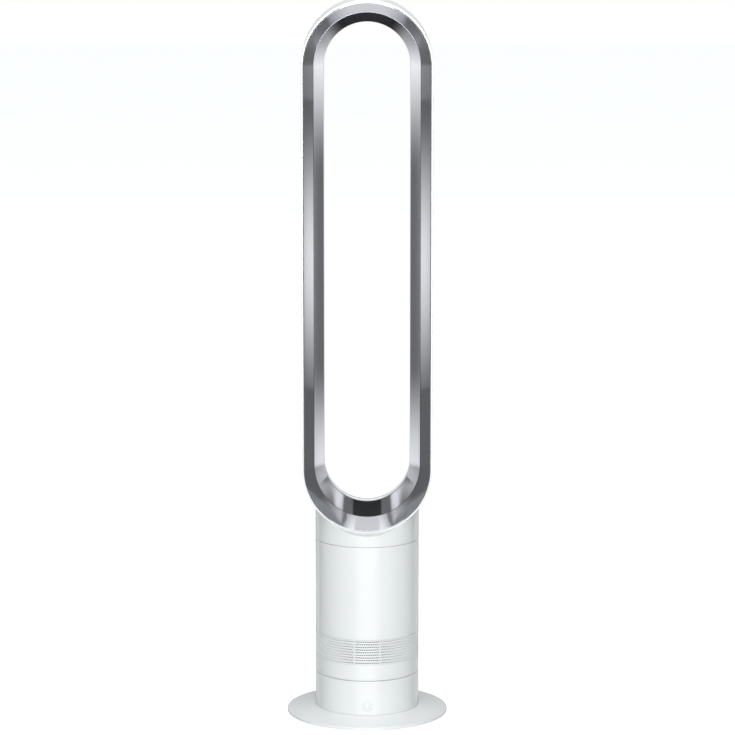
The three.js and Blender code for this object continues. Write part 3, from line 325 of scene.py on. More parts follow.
# Silicone rubber, moulded against a spark-eroded tool: dull, with a fine grain of about
# 0.4 mm that breaks up what little shine it has.
silicone, tree, shader = surface("moulded_silicone_rubber", Base_Color=colour("232427"),
                                 Roughness=0.72, IOR=1.42)
place = add(tree, "ShaderNodeTexCoord").outputs["Object"]
grain = add(tree, "ShaderNodeTexNoise", {"Vector": place, "Scale": 1 / 0.0004, "Detail": 2})
relief(tree, shader, grain.outputs[0], 0.4, 0.00004)

for i in range(PAD_COUNT):
    bm = turn([(0, PAD_HOLLOW), (PAD_RADIUS - PAD_RIM - 0.4, PAD_HOLLOW), (PAD_RADIUS - PAD_RIM, 0),
               (PAD_RADIUS, 0, 0.4), (PAD_RADIUS, PAD_HEIGHT, 0.15), (0, PAD_HEIGHT)], 48,
              closed=False)
    angle = 2 * math.pi * i / PAD_COUNT - math.pi / 2
    bmesh.ops.translate(bm, verts=bm.verts, vec=(PAD_CIRCLE * math.cos(angle),
                                                 PAD_CIRCLE * math.sin(angle), 0))
    settle(bm, f"pad_{i + 1}", silicone, "base", "rubber", f"foot_pad_{i + 1}")

# ---- Foot underplate ------------------------------------------------------------------------
# Grey closing plate under the foot, moulded in ABS with a fine matt texture. It has a seat
# for each pad and a sunk hole for each screw.
PLATE_RADIUS = 110
PLATE_LOW = 1.0
PLATE_THICKNESS = 1.6
SEAT_GAP = 0.3
SCREW_COUNT = 5
SCREW_CIRCLE = 62
SCREW_HOLE = 4.2
SCREW_HOLE_DEPTH = 1.2

# ABS, spark-textured: even mid grey, matt, with a grain of about half a millimetre.
textured_abs, tree, shader = surface("textured_grey_abs", Base_Color=colour("8F9499"),
                                     Roughness=0.55, IOR=1.53)
place = add(tree, "ShaderNodeTexCoord").outputs["Object"]
grain = add(tree, "ShaderNodeTexNoise", {"Vector": place, "Scale": 1 / 0.0005, "Detail": 3})
relief(tree, shader, grain.outputs[0], 0.35, 0.00005)
cloud = add(tree, "ShaderNodeTexNoise", {"Vector": place, "Scale": 1 / 0.03})
tint = add(tree, "ShaderNodeMix", {0: cloud.outputs[0], 6: colour("8A8F94"), 7: colour("93989D")},
           data_type="RGBA")
tree.links.new(tint.outputs[2], shader.inputs["Base Color"])


def rod(radius, low, high, x=0, y=0, steps=32, axis="Z"):
    """A round bar in mm, between two levels along an axis."""
    bm = bmesh.new()
    bmesh.ops.create_cone(bm, cap_ends=True, segments=steps, radius1=radius, radius2=radius,
                          depth=high - low)
    bmesh.ops.translate(bm, verts=bm.verts, vec=(0, 0, (low + high) / 2))
    if axis == "Y":
        bmesh.ops.rotate(bm, verts=bm.verts, matrix=Matrix.Rotation(-math.pi / 2, 3, "X"))
        bmesh.ops.translate(bm, verts=bm.verts, vec=(x, 0, y))
    else:
        bmesh.ops.translate(bm, verts=bm.verts, vec=(x, y, 0))
    return bm


def shaped(bm, tool, operation):
    """One mesh cut by, or joined to, another."""
    pair = []
    for part in (bm, tool):
        bmesh.ops.remove_doubles(part, verts=part.verts, dist=0.002)
        bmesh.ops.recalc_face_normals(part, faces=part.faces)
        pair.append(bpy.data.objects.new("blank", bpy.data.meshes.new("blank")))
        part.to_mesh(pair[-1].data)
        part.free()
        bpy.context.scene.collection.objects.link(pair[-1])
    step = pair[0].modifiers.new("step", "BOOLEAN")
    step.operation = operation
    step.object = pair[1]
    step.solver = "EXACT"
    shown = pair[0].evaluated_get(bpy.context.evaluated_depsgraph_get())
    whole = bpy.data.meshes.new_from_object(shown)
    result = bmesh.new()
    result.from_mesh(whole)
    for mesh in (pair[0].data, pair[1].data, whole):
        bpy.data.meshes.remove(mesh)
    return result


plate_top = PLATE_LOW + PLATE_THICKNESS
bm = turn([(0, PLATE_LOW), (PLATE_RADIUS, PLATE_LOW, 0.4), (PLATE_RADIUS, plate_top),
           (0, plate_top)], closed=False)
for i in range(PAD_COUNT):
    angle = 2 * math.pi * i / PAD_COUNT - math.pi / 2
    bm = shaped(bm, rod(PAD_RADIUS + SEAT_GAP, 0, PAD_HEIGHT + SEAT_GAP,
                        PAD_CIRCLE * math.cos(angle), PAD_CIRCLE * math.sin(angle), 48),
                "DIFFERENCE")
for i in range(SCREW_COUNT):
    angle = 2 * math.pi * i / SCREW_COUNT + math.pi / 2
    bm = shaped(bm, rod(SCREW_HOLE, 0, PLATE_LOW + SCREW_HOLE_DEPTH,
                        SCREW_CIRCLE * math.cos(angle), SCREW_CIRCLE * math.sin(angle)),
                "DIFFERENCE")
settle(bm, "underplate", textured_abs, "base", "inner_plastic", "foot_underplate")

# ---- Underplate screws ----------------------------------------------------------------------
# Pan-head thread-forming screws in zinc-plated steel with a cross recess, sunk just below
# the plate.
SCREW_HEAD = 3.2
HEAD_LOW = 1.25
HEAD_EDGE = 1.75
HEAD_TOP = 2.15
RECESS = (3.2, 0.7, 1.2)

# Zinc-plated steel: pale, slightly blue, drawn finish with faint turning marks.
zinc, tree, shader = surface("zinc_plated_steel", Base_Color=colour("B9BDC2"), Metallic=1.0,
                             Roughness=0.32)
place = add(tree, "ShaderNodeTexCoord").outputs["Object"]
wear = add(tree, "ShaderNodeTexNoise", {"Vector": place, "Scale": 1 / 0.002, "Detail": 4})
shine = add(tree, "ShaderNodeMapRange", {"Value": wear.outputs[0], "To Min": 0.24, "To Max": 0.42})
tree.links.new(shine.outputs[0], shader.inputs["Roughness"])

for i in range(SCREW_COUNT):
    bm = turn([(0, HEAD_LOW), (SCREW_HEAD - 1, HEAD_LOW), (SCREW_HEAD, HEAD_EDGE, 0.2),
               (SCREW_HEAD, HEAD_TOP), (0, HEAD_TOP)], 40, closed=False)
    for quarter in (0, 1):
        slot = bmesh.new()
        bmesh.ops.create_cube(slot, size=1)
        bmesh.ops.scale(slot, verts=slot.verts, vec=RECESS)
        bmesh.ops.translate(slot, verts=slot.verts, vec=(0, 0, HEAD_LOW))
        bmesh.ops.rotate(slot, verts=slot.verts,
                         matrix=Matrix.Rotation(quarter * math.pi / 2, 3, "Z"))
        bm = shaped(bm, slot, "DIFFERENCE")
    angle = 2 * math.pi * i / SCREW_COUNT + math.pi / 2
    bmesh.ops.translate(bm, verts=bm.verts, vec=(SCREW_CIRCLE * math.cos(angle),
                                                 SCREW_CIRCLE * math.sin(angle), 0))
    settle(bm, f"underplate_screw_{i + 1}", zinc, "base", "steel")

# ---- Foot disc ------------------------------------------------------------------------------
# Round foot, one gloss white moulding: a low cone that runs out to a thin rounded rim, with
# a flat seat for the drum.
FOOT_RADIUS = 113
FOOT_UNDER = 1.0
RIM_LEVEL = 5.2
CROWN_LEVEL = 11.6
CROWN_RADIUS = 73.5
FOOT_WALL = 2.7
CROWN_THICKNESS = 2.4
SLOPE_THICKNESS = 2.1

# ABS, injection moulded in a polished tool: gloss white, faintly cool, with the slight
# orange peel of a moulding about 3 mm across.
gloss_abs, tree, shader = surface("gloss_white_abs", Base_Color=colour("F2F4F4"), Roughness=0.22,
                                  IOR=1.53, Coat_Weight=0.15, Coat_Roughness=0.12)
place = add(tree, "ShaderNodeTexCoord").outputs["Object"]
peel = add(tree, "ShaderNodeTexNoise", {"Vector": place, "Scale": 1 / 0.003, "Detail": 1})
relief(tree, shader, peel.outputs[0], 0.12, 0.00003)
haze = add(tree, "ShaderNodeTexNoise", {"Vector": place, "Scale": 1 / 0.025, "Detail": 3})
shine = add(tree, "ShaderNodeMapRange", {"Value": haze.outputs[0], "To Min": 0.2, "To Max": 0.25})
tree.links.new(shine.outputs[0], shader.inputs["Roughness"])

bm = turn([(0, CROWN_LEVEL - CROWN_THICKNESS), (CROWN_RADIUS, CROWN_LEVEL - CROWN_THICKNESS),
           (FOOT_RADIUS - FOOT_WALL, RIM_LEVEL - SLOPE_THICKNESS),
           (FOOT_RADIUS - FOOT_WALL, FOOT_UNDER), (FOOT_RADIUS, FOOT_UNDER, 0.6),
           (FOOT_RADIUS, RIM_LEVEL, 1.1), (CROWN_RADIUS, CROWN_LEVEL, 1.5), (0, CROWN_LEVEL)],
          192, closed=False)
settle(bm, "foot", gloss_abs, "base", "white_shell", "foot_disc")

# ---- Lower drum -----------------------------------------------------------------------------
# Fixed drum, gloss white ABS: a thin wall with a deck inside its top edge and a hollow
# spigot that the casing turns on. Holes take the power button and the cord inlet.
BODY_RADIUS = 72.8
BODY_WALL = 2.5
DRUM_LOW = 11.9
DRUM_TOP = 60.6
DECK_LOW = 54.1
DECK_TOP = 56.6
SPIGOT_BORE = 12
SPIGOT_RADIUS = 16
SPIGOT_TOP = 68.3
CLIP_GROOVE = 14.6
CLIP_LOW = 64.7
CLIP_TOP = 66.8
BUTTON_LEVEL = 24.3
BUTTON_RADIUS = 6.75
BUTTON_GAP = 0.3
INLET_LEVEL = 21.9
INLET_HOLE = 6.5
PINION_HOLE = 3.1
PINION_BACK = 40.5

body_bore = BODY_RADIUS - BODY_WALL
bm = turn([(body_bore, DRUM_LOW), (BODY_RADIUS, DRUM_LOW, 0.3), (BODY_RADIUS, DRUM_TOP, 0.35),
           (body_bore, DRUM_TOP), (body_bore, DECK_TOP), (SPIGOT_RADIUS, DECK_TOP),
           (SPIGOT_RADIUS, CLIP_LOW), (CLIP_GROOVE, CLIP_LOW), (CLIP_GROOVE, CLIP_TOP),
           (SPIGOT_RADIUS, CLIP_TOP), (SPIGOT_RADIUS, SPIGOT_TOP), (SPIGOT_BORE, SPIGOT_TOP),
           (SPIGOT_BORE, DECK_LOW), (body_bore, DECK_LOW)], 192)
bm = shaped(bm, rod(BUTTON_RADIUS + BUTTON_GAP, -80, -60, 0, BUTTON_LEVEL, 64, "Y"), "DIFFERENCE")
bm = shaped(bm, rod(INLET_HOLE, 60, 80, 0, INLET_LEVEL, 48, "Y"), "DIFFERENCE")
bm = shaped(bm, rod(PINION_HOLE, 50, 60, 0, PINION_BACK), "DIFFERENCE")
settle(bm, "drum", gloss_abs, "base", "white_shell", "lower_drum")

# ---- Power button ---------------------------------------------------------------------------
# Round push button in the same white ABS, its face following the drum, with a flange
# inside that keeps it in and a stem behind. It travels 1 mm.
BUTTON_PROUD = 0.2
BUTTON_EDGE = 0.3
FLANGE_RADIUS = 8.45
FLANGE_THICKNESS = 1
STEM_RADIUS = 2.5
STEM_BACK = 7.6
flange_front = BUTTON_GAP - math.sqrt(body_bore ** 2 - FLANGE_RADIUS ** 2)

bm = bmesh.new()
bmesh.ops.create_circle(bm, segments=64, radius=BUTTON_RADIUS, cap_ends=True)
bmesh.ops.rotate(bm, verts=bm.verts, matrix=Matrix.Rotation(math.pi / 2, 3, "X"))
for inset in (0.35, 2.2, 2.2):
    bmesh.ops.inset_region(bm, faces=[f for f in bm.faces if len(f.verts) == 64], thickness=inset,
                           depth=0)
for vert in bm.verts:
    edge_drop = BUTTON_EDGE if vert.is_boundary else 0
    vert.co.y = -math.sqrt((BODY_RADIUS + BUTTON_PROUD) ** 2 - vert.co.x ** 2) + edge_drop
skirt = bmesh.ops.extrude_edge_only(bm, edges=[e for e in bm.edges if e.is_boundary])
for vert in [v for v in skirt["geom"] if isinstance(v, bmesh.types.BMVert)]:
    vert.co.y = flange_front
for radius, depth in ((FLANGE_RADIUS, 0), (FLANGE_RADIUS, FLANGE_THICKNESS),
                      (STEM_RADIUS, FLANGE_THICKNESS), (STEM_RADIUS, STEM_BACK)):
    ring = bmesh.ops.extrude_edge_only(bm, edges=[e for e in bm.edges if e.is_boundary])
    for vert in [v for v in ring["geom"] if isinstance(v, bmesh.types.BMVert)]:
        out = math.hypot(vert.co.x, vert.co.z)
        vert.co.x *= radius / out
        vert.co.z *= radius / out
        vert.co.y = flange_front + depth
bmesh.ops.edgeloop_fill(bm, edges=[e for e in bm.edges if e.is_boundary])
bmesh.ops.translate(bm, verts=bm.verts, vec=(0, 0, BUTTON_LEVEL))
settle(bm, "button", gloss_abs, "power_button", "white_shell", "power_button")

# Mark on the button: a pale grey pad-printed ring, open at the top.
MARK_RADIUS = 3.4
MARK_LINE = 0.5
MARK_START = -35
MARK_SWEEP = 250

# Pad-printing ink: thin, satin, light grey.
grey_ink, tree, shader = surface("pad_printing_ink", Base_Color=colour("B4BBBB"), Roughness=0.4,
                                 IOR=1.5)
place = add(tree, "ShaderNodeTexCoord").outputs["Object"]
speck = add(tree, "ShaderNodeTexNoise", {"Vector": place, "Scale": 1 / 0.0003, "Detail": 1})
tint = add(tree, "ShaderNodeMix", {0: speck.outputs[0], 6: colour("AEB5B5"), 7: colour("BCC2C2")},
           data_type="RGBA")
tree.links.new(tint.outputs[2], shader.inputs["Base Color"])

bm = bmesh.new()
corners = [bm.verts.new((r, 0, z)) for r, z in ((MARK_RADIUS, 0), (MARK_RADIUS + MARK_LINE, 0))]
line = bm.edges.new(corners)
bmesh.ops.rotate(bm, verts=corners, matrix=Matrix.Rotation(math.radians(MARK_START), 3, "Y"))
bmesh.ops.spin(bm, geom=[*corners, line], cent=(0, 0, 0), axis=(0, 1, 0),
               angle=math.radians(MARK_SWEEP), steps=40)
bmesh.ops.recalc_face_normals(bm, faces=bm.faces)
front = bmesh.ops.extrude_face_region(bm, geom=bm.faces[:], use_keep_orig=True)
raised = [v for v in front["geom"] if isinstance(v, bmesh.types.BMVert)]
for vert in bm.verts:
    proud = 0.04 if vert in raised else -0.05
    vert.co.y = -math.sqrt((BODY_RADIUS + BUTTON_PROUD + proud) ** 2 - vert.co.x ** 2)
bmesh.ops.translate(bm, verts=bm.verts, vec=(0, 0, BUTTON_LEVEL))
settle(bm, "standby_mark", grey_ink, "power_button", "white_shell")

# ---- Cord inlet -----------------------------------------------------------------------------
# Black silicone bush in the back of the drum that the supply cord goes in by, moulded with
# a flange on each side of the wall.
BUSH_BORE = 4.25
BUSH_FLANGE = 8.2
BUSH_WAIST = 6.2
BUSH_FRONT = 61.9
BUSH_BACK = 75.1
WAIST_FRONT = 69.5
WAIST_BACK = 73.1

bm = turn([(BUSH_BORE, BUSH_FRONT), (BUSH_FLANGE, BUSH_FRONT, 0.3), (BUSH_FLANGE, WAIST_FRONT),
           (BUSH_WAIST, WAIST_FRONT), (BUSH_WAIST, WAIST_BACK), (BUSH_FLANGE, WAIST_BACK),
           (BUSH_FLANGE, BUSH_BACK, 0.9), (BUSH_BORE, BUSH_BACK, 0.7)], 64)
bmesh.ops.rotate(bm, verts=bm.verts, matrix=Matrix.Rotation(-math.pi / 2, 3, "X"))
bmesh.ops.translate(bm, verts=bm.verts, vec=(0, 0, INLET_LEVEL))
settle(bm, "cord_bush", silicone, "base", "rubber", "cord_inlet")

# ---- Body casing ----------------------------------------------------------------------------
# Turning casing, gloss white ABS: a lower ring and a long upper wall with a neck, joined by
# twelve upright bars behind the inlet band.
CASING_LOW = 61.4
BAND_LOW = 84.0
BAND_TOP = 119.6
CASING_TOP = 251.4
NECK_TOP = 262.3
NECK_RADIUS = 70
NECK_BORE = 67.5
LEDGE_BORE = 65.3
LEDGE_LOW = 65
LEDGE_TOP = 67.5
SHELF_BORE = 59.7
SHELF_TOP = 122.6
BAR_COUNT = 12
BAR_INNER = 67.7
BAR_WIDTH = 3
BAR_LOW = 83
BAR_TOP = 121.1

bm = turn([(body_bore, CASING_LOW), (BODY_RADIUS, CASING_LOW, 0.35), (BODY_RADIUS, BAND_LOW, 0.2),
           (BAR_INNER, BAND_LOW), (BAR_INNER, BAND_LOW - 2), (body_bore, BAND_LOW - 2),
           (body_bore, LEDGE_TOP), (LEDGE_BORE, LEDGE_TOP), (LEDGE_BORE, LEDGE_LOW),
           (body_bore, LEDGE_LOW)], 192)
upper = turn([(SHELF_BORE, BAND_TOP), (BODY_RADIUS, BAND_TOP, 0.2),
              (BODY_RADIUS, CASING_TOP, 0.35), (NECK_RADIUS, CASING_TOP),
              (NECK_RADIUS, NECK_TOP, 0.4), (NECK_BORE, NECK_TOP),
              (NECK_BORE, CASING_TOP - BODY_WALL), (body_bore, CASING_TOP - 2 * BODY_WALL),
              (body_bore, SHELF_TOP), (SHELF_BORE, SHELF_TOP)], 192)
mesh = bpy.data.meshes.new("upper_wall")
upper.to_mesh(mesh)
upper.free()
bm.from_mesh(mesh)
for i in range(BAR_COUNT):
    bar = bmesh.ops.create_cube(bm, size=1)["verts"]
    bmesh.ops.scale(bm, verts=bar, vec=(body_bore - BAR_INNER, BAR_WIDTH, BAR_TOP - BAR_LOW))
    bmesh.ops.translate(bm, verts=bar,
                        vec=((body_bore + BAR_INNER) / 2, 0, (BAR_LOW + BAR_TOP) / 2))
    bmesh.ops.rotate(bm, verts=bar,
                     matrix=Matrix.Rotation(2 * math.pi * (i + 0.5) / BAR_COUNT, 3, "Z"))
settle(bm, "casing", gloss_abs, "upper_body", "white_shell", "body_casing")

# ---- Inlet band -----------------------------------------------------------------------------
# Perforated band that the air goes in by: white ABS, 2.2 mm thick, nine staggered rows of
# small round holes all round the casing.
HOLE_COLUMNS = 176
HOLE_ROWS = 9
HOLE_RADIUS = 0.98
ROW_PITCH = 3.8
BAND_THICKNESS = 2.2
BAND_GAP = 0.3
column_pitch = 2 * math.pi * BODY_RADIUS / HOLE_COLUMNS
band_edge = (BAND_TOP - BAND_LOW - 2 * BAND_GAP - HOLE_ROWS * ROW_PITCH) / 2

bm = bmesh.new()
bmesh.ops.create_circle(bm, segments=8, radius=HOLE_RADIUS)
outer = bmesh.ops.create_circle(bm, segments=8, radius=2)["verts"]
for vert in outer:
    vert.co.x = math.copysign(column_pitch / 2, vert.co.x) if abs(vert.co.x) > 0.1 else 0
    vert.co.y = math.copysign(ROW_PITCH / 2, vert.co.y) if abs(vert.co.y) > 0.1 else 0
bmesh.ops.bridge_loops(bm, edges=bm.edges[:])
cell = bm.verts[:] + bm.edges[:] + bm.faces[:]
for i in range(1, HOLE_COLUMNS):
    copy = bmesh.ops.duplicate(bm, geom=cell)["geom"]
    bmesh.ops.translate(bm, verts=[v for v in copy if isinstance(v, bmesh.types.BMVert)],
                        vec=(i * column_pitch, 0, 0))
row = bm.verts[:] + bm.edges[:] + bm.faces[:]
for i in range(1, HOLE_ROWS):
    copy = bmesh.ops.duplicate(bm, geom=row)["geom"]
    bmesh.ops.translate(bm, verts=[v for v in copy if isinstance(v, bmesh.types.BMVert)],
                        vec=(column_pitch / 2 * (i % 2), i * ROW_PITCH, 0))
bmesh.ops.remove_doubles(bm, verts=bm.verts, dist=0.01)
for level, step in ((-ROW_PITCH / 2, -band_edge), ((HOLE_ROWS - 0.5) * ROW_PITCH, band_edge)):
    ends = [e for e in bm.edges if all(abs(v.co.y - level) < 0.01 for v in e.verts)]
    strip = bmesh.ops.extrude_edge_only(bm, edges=ends)["geom"]
    bmesh.ops.translate(bm, verts=[v for v in strip if isinstance(v, bmesh.types.BMVert)],
                        vec=(0, step, 0))
for vert in bm.verts:
    angle = vert.co.x / BODY_RADIUS
    height = BAND_LOW + BAND_GAP + band_edge + ROW_PITCH / 2 + vert.co.y
    vert.co = (BODY_RADIUS * math.sin(angle), -BODY_RADIUS * math.cos(angle), height)
bmesh.ops.remove_doubles(bm, verts=bm.verts, dist=0.01)
inner = bmesh.ops.extrude_face_region(bm, geom=bm.faces[:], use_keep_orig=True)["geom"]
thin = (BODY_RADIUS - BAND_THICKNESS) / BODY_RADIUS
bmesh.ops.scale(bm, verts=[v for v in inner if isinstance(v, bmesh.types.BMVert)],
                vec=(thin, thin, 1))
settle(bm, "perforated_band", gloss_abs, "upper_body", "white_shell", "inlet_band")

# ---- Loop front bezel -----------------------------------------------------------------------
# Outer silver band of the loop: an ABS moulding with satin silver lacquer, flared towards
# the front, with a skirt that presses into the outer shell.
LOOP_RADIUS = 90.5
LOOP_FRONT = -52.5
LOWER_CENTRE = 357.2
UPPER_CENTRE = 916.5
END_STRETCH = 0.1
BEZEL_RADIUS = 87.6
CREASE_RADIUS = 73.4
CREASE_DEPTH = -23.5
THROAT_RADIUS = 59.5
THROAT_DEPTH = 12.5
CREASE_FLANGE = 7
BEZEL_WALL = 2.2
BEZEL_GAP = 0.3
SKIRT_LENGTH = 14.5
GROOVE = 0.9

# Satin silver lacquer on ABS: aluminium flake of about 0.05 mm under a thin clear coat, drawn
# at 0.5 mm so that it shows. It mirrors clearly, with a little haze from the flake.
lacquer, tree, shader = surface("satin_silver_lacquer", Base_Color=colour("CCCED4"), Metallic=1.0,
                                Roughness=0.09)
place = add(tree, "ShaderNodeTexCoord").outputs["Object"]
flake = add(tree, "ShaderNodeTexNoise", {"Vector": place, "Scale": 1 / 0.0005, "Detail": 2})
tint = add(tree, "ShaderNodeMix", {0: flake.outputs[0], 6: colour("C8CAD0"), 7: colour("D0D2D8")},
           data_type="RGBA")
tree.links.new(tint.outputs[2], shader.inputs["Base Color"])
shine = add(tree, "ShaderNodeMapRange", {"Value": flake.outputs[0], "To Min": 0.08, "To Max": 0.1})
tree.links.new(shine.outputs[0], shader.inputs["Roughness"])


def racetrack(points, steps=64):
    """A section of (radius, depth) points in mm, taken once round the loop."""
    bm = bmesh.new()
    profile(bm, points)
    for vert in bm.verts:
        vert.co = (vert.co.x, vert.co.z, 0)
    bmesh.ops.spin(bm, geom=bm.verts[:] + bm.edges[:], cent=(0, 0, 0), axis=(0, -1, 0),
                   angle=math.pi, steps=steps)
    for vert in bm.verts:
        inset = END_STRETCH * (LOOP_RADIUS - math.hypot(vert.co.x, vert.co.z))
        vert.co.z += (UPPER_CENTRE - LOWER_CENTRE) / 2 - inset
    rims = [e for e in bm.edges if e.is_boundary]
    side = bmesh.ops.extrude_edge_only(bm, edges=rims)["geom"]
    for vert in [v for v in side if isinstance(v, bmesh.types.BMVert)]:
        vert.co.z = 0
    bmesh.ops.mirror(bm, geom=bm.verts[:] + bm.edges[:] + bm.faces[:], matrix=Matrix(), axis="Z",
                     merge_dist=0.001)
    bmesh.ops.remove_doubles(bm, verts=bm.verts, dist=0.001)
    bmesh.ops.translate(bm, verts=bm.verts, vec=(0, 0, (UPPER_CENTRE + LOWER_CENTRE) / 2))
    return bm


crease = (CREASE_RADIUS + GROOVE / 2, CREASE_DEPTH - BEZEL_GAP)
tip = (BEZEL_RADIUS - 0.8, LOOP_FRONT)
length = math.hypot(tip[0] - crease[0], tip[1] - crease[1])
along = ((tip[0] - crease[0]) / length, (tip[1] - crease[1]) / length)
inside = (crease[0] - BEZEL_WALL * along[1], crease[1] + BEZEL_WALL * along[0])
skirt_radius = BEZEL_RADIUS - BEZEL_WALL
flange_level = CREASE_DEPTH - BEZEL_GAP - BEZEL_WALL
bm = racetrack([
    crease,
    (*tip, 0.35),
    (BEZEL_RADIUS, LOOP_FRONT + 0.8, 0.35),
    (BEZEL_RADIUS, LOOP_FRONT + SKIRT_LENGTH),
    (skirt_radius, LOOP_FRONT + SKIRT_LENGTH),
    (skirt_radius, inside[1] + (skirt_radius - inside[0]) * along[1] / along[0]),
    (inside[0] + (flange_level - inside[1]) * along[0] / along[1], flange_level),
    (CREASE_RADIUS + CREASE_FLANGE, flange_level),
    (CREASE_RADIUS + CREASE_FLANGE, CREASE_DEPTH - BEZEL_GAP),
])
settle(bm, "front_bezel", lacquer, "upper_body", "satin_silver", "loop_front_bezel")

# ---- Loop inner ramp ------------------------------------------------------------------------
# Inner silver band: the ramp that the air runs forward over, from the rounded lip at the
# slot down to the crease, in the same lacquered ABS. A small groove behind the bezel's edge
# makes the dark line between the two bands.
CURVE_RADIUS = 12
RAMP_WALL = 2.2
GROOVE_DEPTH = 1.6
CURVE_END = 75
curve_centre = THROAT_RADIUS + CURVE_RADIUS


def curve_point(distance, degrees):
    """A point about the centre of the ramp's curve, in degrees past the throat."""
    angle = math.radians(degrees)
    return (curve_centre - distance * math.cos(angle), THROAT_DEPTH + distance * math.sin(angle))


across = curve_centre - CREASE_RADIUS
behind = CREASE_DEPTH - THROAT_DEPTH
tangent = math.degrees(math.atan2(behind, across)
                       + math.acos(CURVE_RADIUS / math.hypot(across, behind)))
lean_start = curve_point(CURVE_RADIUS - RAMP_WALL, tangent)
flange_back = CREASE_DEPTH + RAMP_WALL
under_flange = lean_start[0] + (flange_back - lean_start[1]) * math.tan(math.radians(tangent))
bm = racetrack([
    (CREASE_RADIUS, CREASE_DEPTH),
    (CREASE_RADIUS + GROOVE, CREASE_DEPTH + GROOVE_DEPTH),
    (CREASE_RADIUS + 1.8 * GROOVE, CREASE_DEPTH),
    (CREASE_RADIUS + CREASE_FLANGE, CREASE_DEPTH),
    (CREASE_RADIUS + CREASE_FLANGE, flange_back),
    (under_flange, flange_back),
    *[curve_point(CURVE_RADIUS - RAMP_WALL, tangent + (CURVE_END - tangent) * i / 10)
      for i in range(11)],
    *[curve_point(CURVE_RADIUS, CURVE_END - (CURVE_END - tangent) * i / 16) for i in range(17)],
])
settle(bm, "inner_ramp", lacquer, "upper_body", "satin_silver", "loop_inner_ramp")

# ---- Loop outer shell -----------------------------------------------------------------------
# White wall of the loop with the collar that stands on the body, one gloss ABS moulding. Its
# rolled back ends in the thin lip of the slot; air comes up through the hollow collar.
SHELL_WALL = 2
SLOT_WIDTH = 1.1
LIP_THICKNESS = 1.2
LIP_ANGLE = 35
REAR_START = 25.5
LOOP_DEPTH = 105
FRONT_EDGE = 1.6
FRONT_RIM = 4.9
COLLAR_LOW = 252.2
COLLAR_SINK = 0.8
DUCT_SIZE = (96, 62, 60)
DUCT_FRONT = -11
DUCT_CORNER = 12


def rolled_back(wall):
    """Half ellipse that the shell's back follows, inset by a wall."""
    middle = (LOOP_RADIUS + THROAT_RADIUS) / 2
    return [(middle + (LOOP_RADIUS - middle - wall) * math.cos(math.pi * i / 20),
             REAR_START + (LOOP_DEPTH / 2 - REAR_START - wall) * math.sin(math.pi * i / 20))
            for i in range(21)]


def solid_bar(offset):
    """The loop's outline in mm, filled and run right through from front to back."""
    radius = LOOP_RADIUS + offset
    bm = bmesh.new()
    bmesh.ops.create_circle(bm, segments=256, radius=radius)
    bmesh.ops.rotate(bm, verts=bm.verts, matrix=Matrix.Rotation(math.pi / 2, 3, "X"))
    for vert in bm.verts:
        vert.co.z += UPPER_CENTRE if vert.co.z > 0 else LOWER_CENTRE
    bmesh.ops.holes_fill(bm, edges=bm.edges[:], sides=0)
    bmesh.ops.translate(bm, verts=bm.verts, vec=(0, -120, 0))
    back = bmesh.ops.extrude_face_region(bm, geom=bm.faces[:], use_keep_orig=True)["geom"]
    bmesh.ops.translate(bm, verts=[v for v in back if isinstance(v, bmesh.types.BMVert)],
                        vec=(0, 240, 0))
    return bm


bm = racetrack([
    (BEZEL_RADIUS + BEZEL_GAP, LOOP_FRONT + FRONT_EDGE),
    (LOOP_RADIUS, LOOP_FRONT + FRONT_EDGE, 0.9),
    *rolled_back(0),
    curve_point(CURVE_RADIUS + SLOT_WIDTH + LIP_THICKNESS, LIP_ANGLE),
    curve_point(CURVE_RADIUS + SLOT_WIDTH, LIP_ANGLE),
    *reversed(rolled_back(SHELL_WALL)),
    (LOOP_RADIUS - SHELL_WALL, LOOP_FRONT + FRONT_EDGE + FRONT_RIM),
    (BEZEL_RADIUS + BEZEL_GAP, LOOP_FRONT + FRONT_EDGE + FRONT_RIM),
], 96)
horn = LOWER_CENTRE - math.sqrt(LOOP_RADIUS ** 2 - BODY_RADIUS ** 2)
collar = shaped(rod(BODY_RADIUS, COLLAR_LOW, horn, steps=192), solid_bar(-COLLAR_SINK),
                "DIFFERENCE")
hollow = shaped(rod(body_bore, COLLAR_LOW - 1, horn, steps=192), solid_bar(BODY_WALL),
                "DIFFERENCE")
collar = shaped(collar, hollow, "DIFFERENCE")
bm = shaped(bm, collar, "UNION")
duct = bmesh.new()
bmesh.ops.create_cube(duct, size=1)
bmesh.ops.scale(duct, verts=duct.verts, vec=DUCT_SIZE)
bmesh.ops.translate(duct, verts=duct.verts, vec=(0, DUCT_FRONT, COLLAR_LOW + DUCT_SIZE[2] / 2))
bmesh.ops.bevel(duct, geom=[e for e in duct.edges if abs(e.verts[0].co.z - e.verts[1].co.z) > 1],
                offset=DUCT_CORNER, segments=6, profile=0.5, affect="EDGES", material=-1)
bm = shaped(bm, duct, "DIFFERENCE")
settle(bm, "outer_shell", gloss_abs, "upper_body", "white_shell", "loop_outer_shell")

# ---- Inside pieces --------------------------------------------------------------------------
# Pieces that the casings hide, and the soft strips that close the slot round both ends of the
# loop: they keep their solids and get their own finishes.

# Acetal, moulded: waxy off-white.
acetal, tree, shader = surface("moulded_acetal", Base_Color=colour("E6E2D6"), Roughness=0.42,
                               IOR=1.48, Subsurface_Weight=0.05)
place = add(tree, "ShaderNodeTexCoord").outputs["Object"]
cloud = add(tree, "ShaderNodeTexNoise", {"Vector": place, "Scale": 1 / 0.01})
tint = add(tree, "ShaderNodeMix", {0: cloud.outputs[0], 6: colour("E2DED1"), 7: colour("EAE7DC")},
           data_type="RGBA")
tree.links.new(tint.outputs[2], shader.inputs["Base Color"])

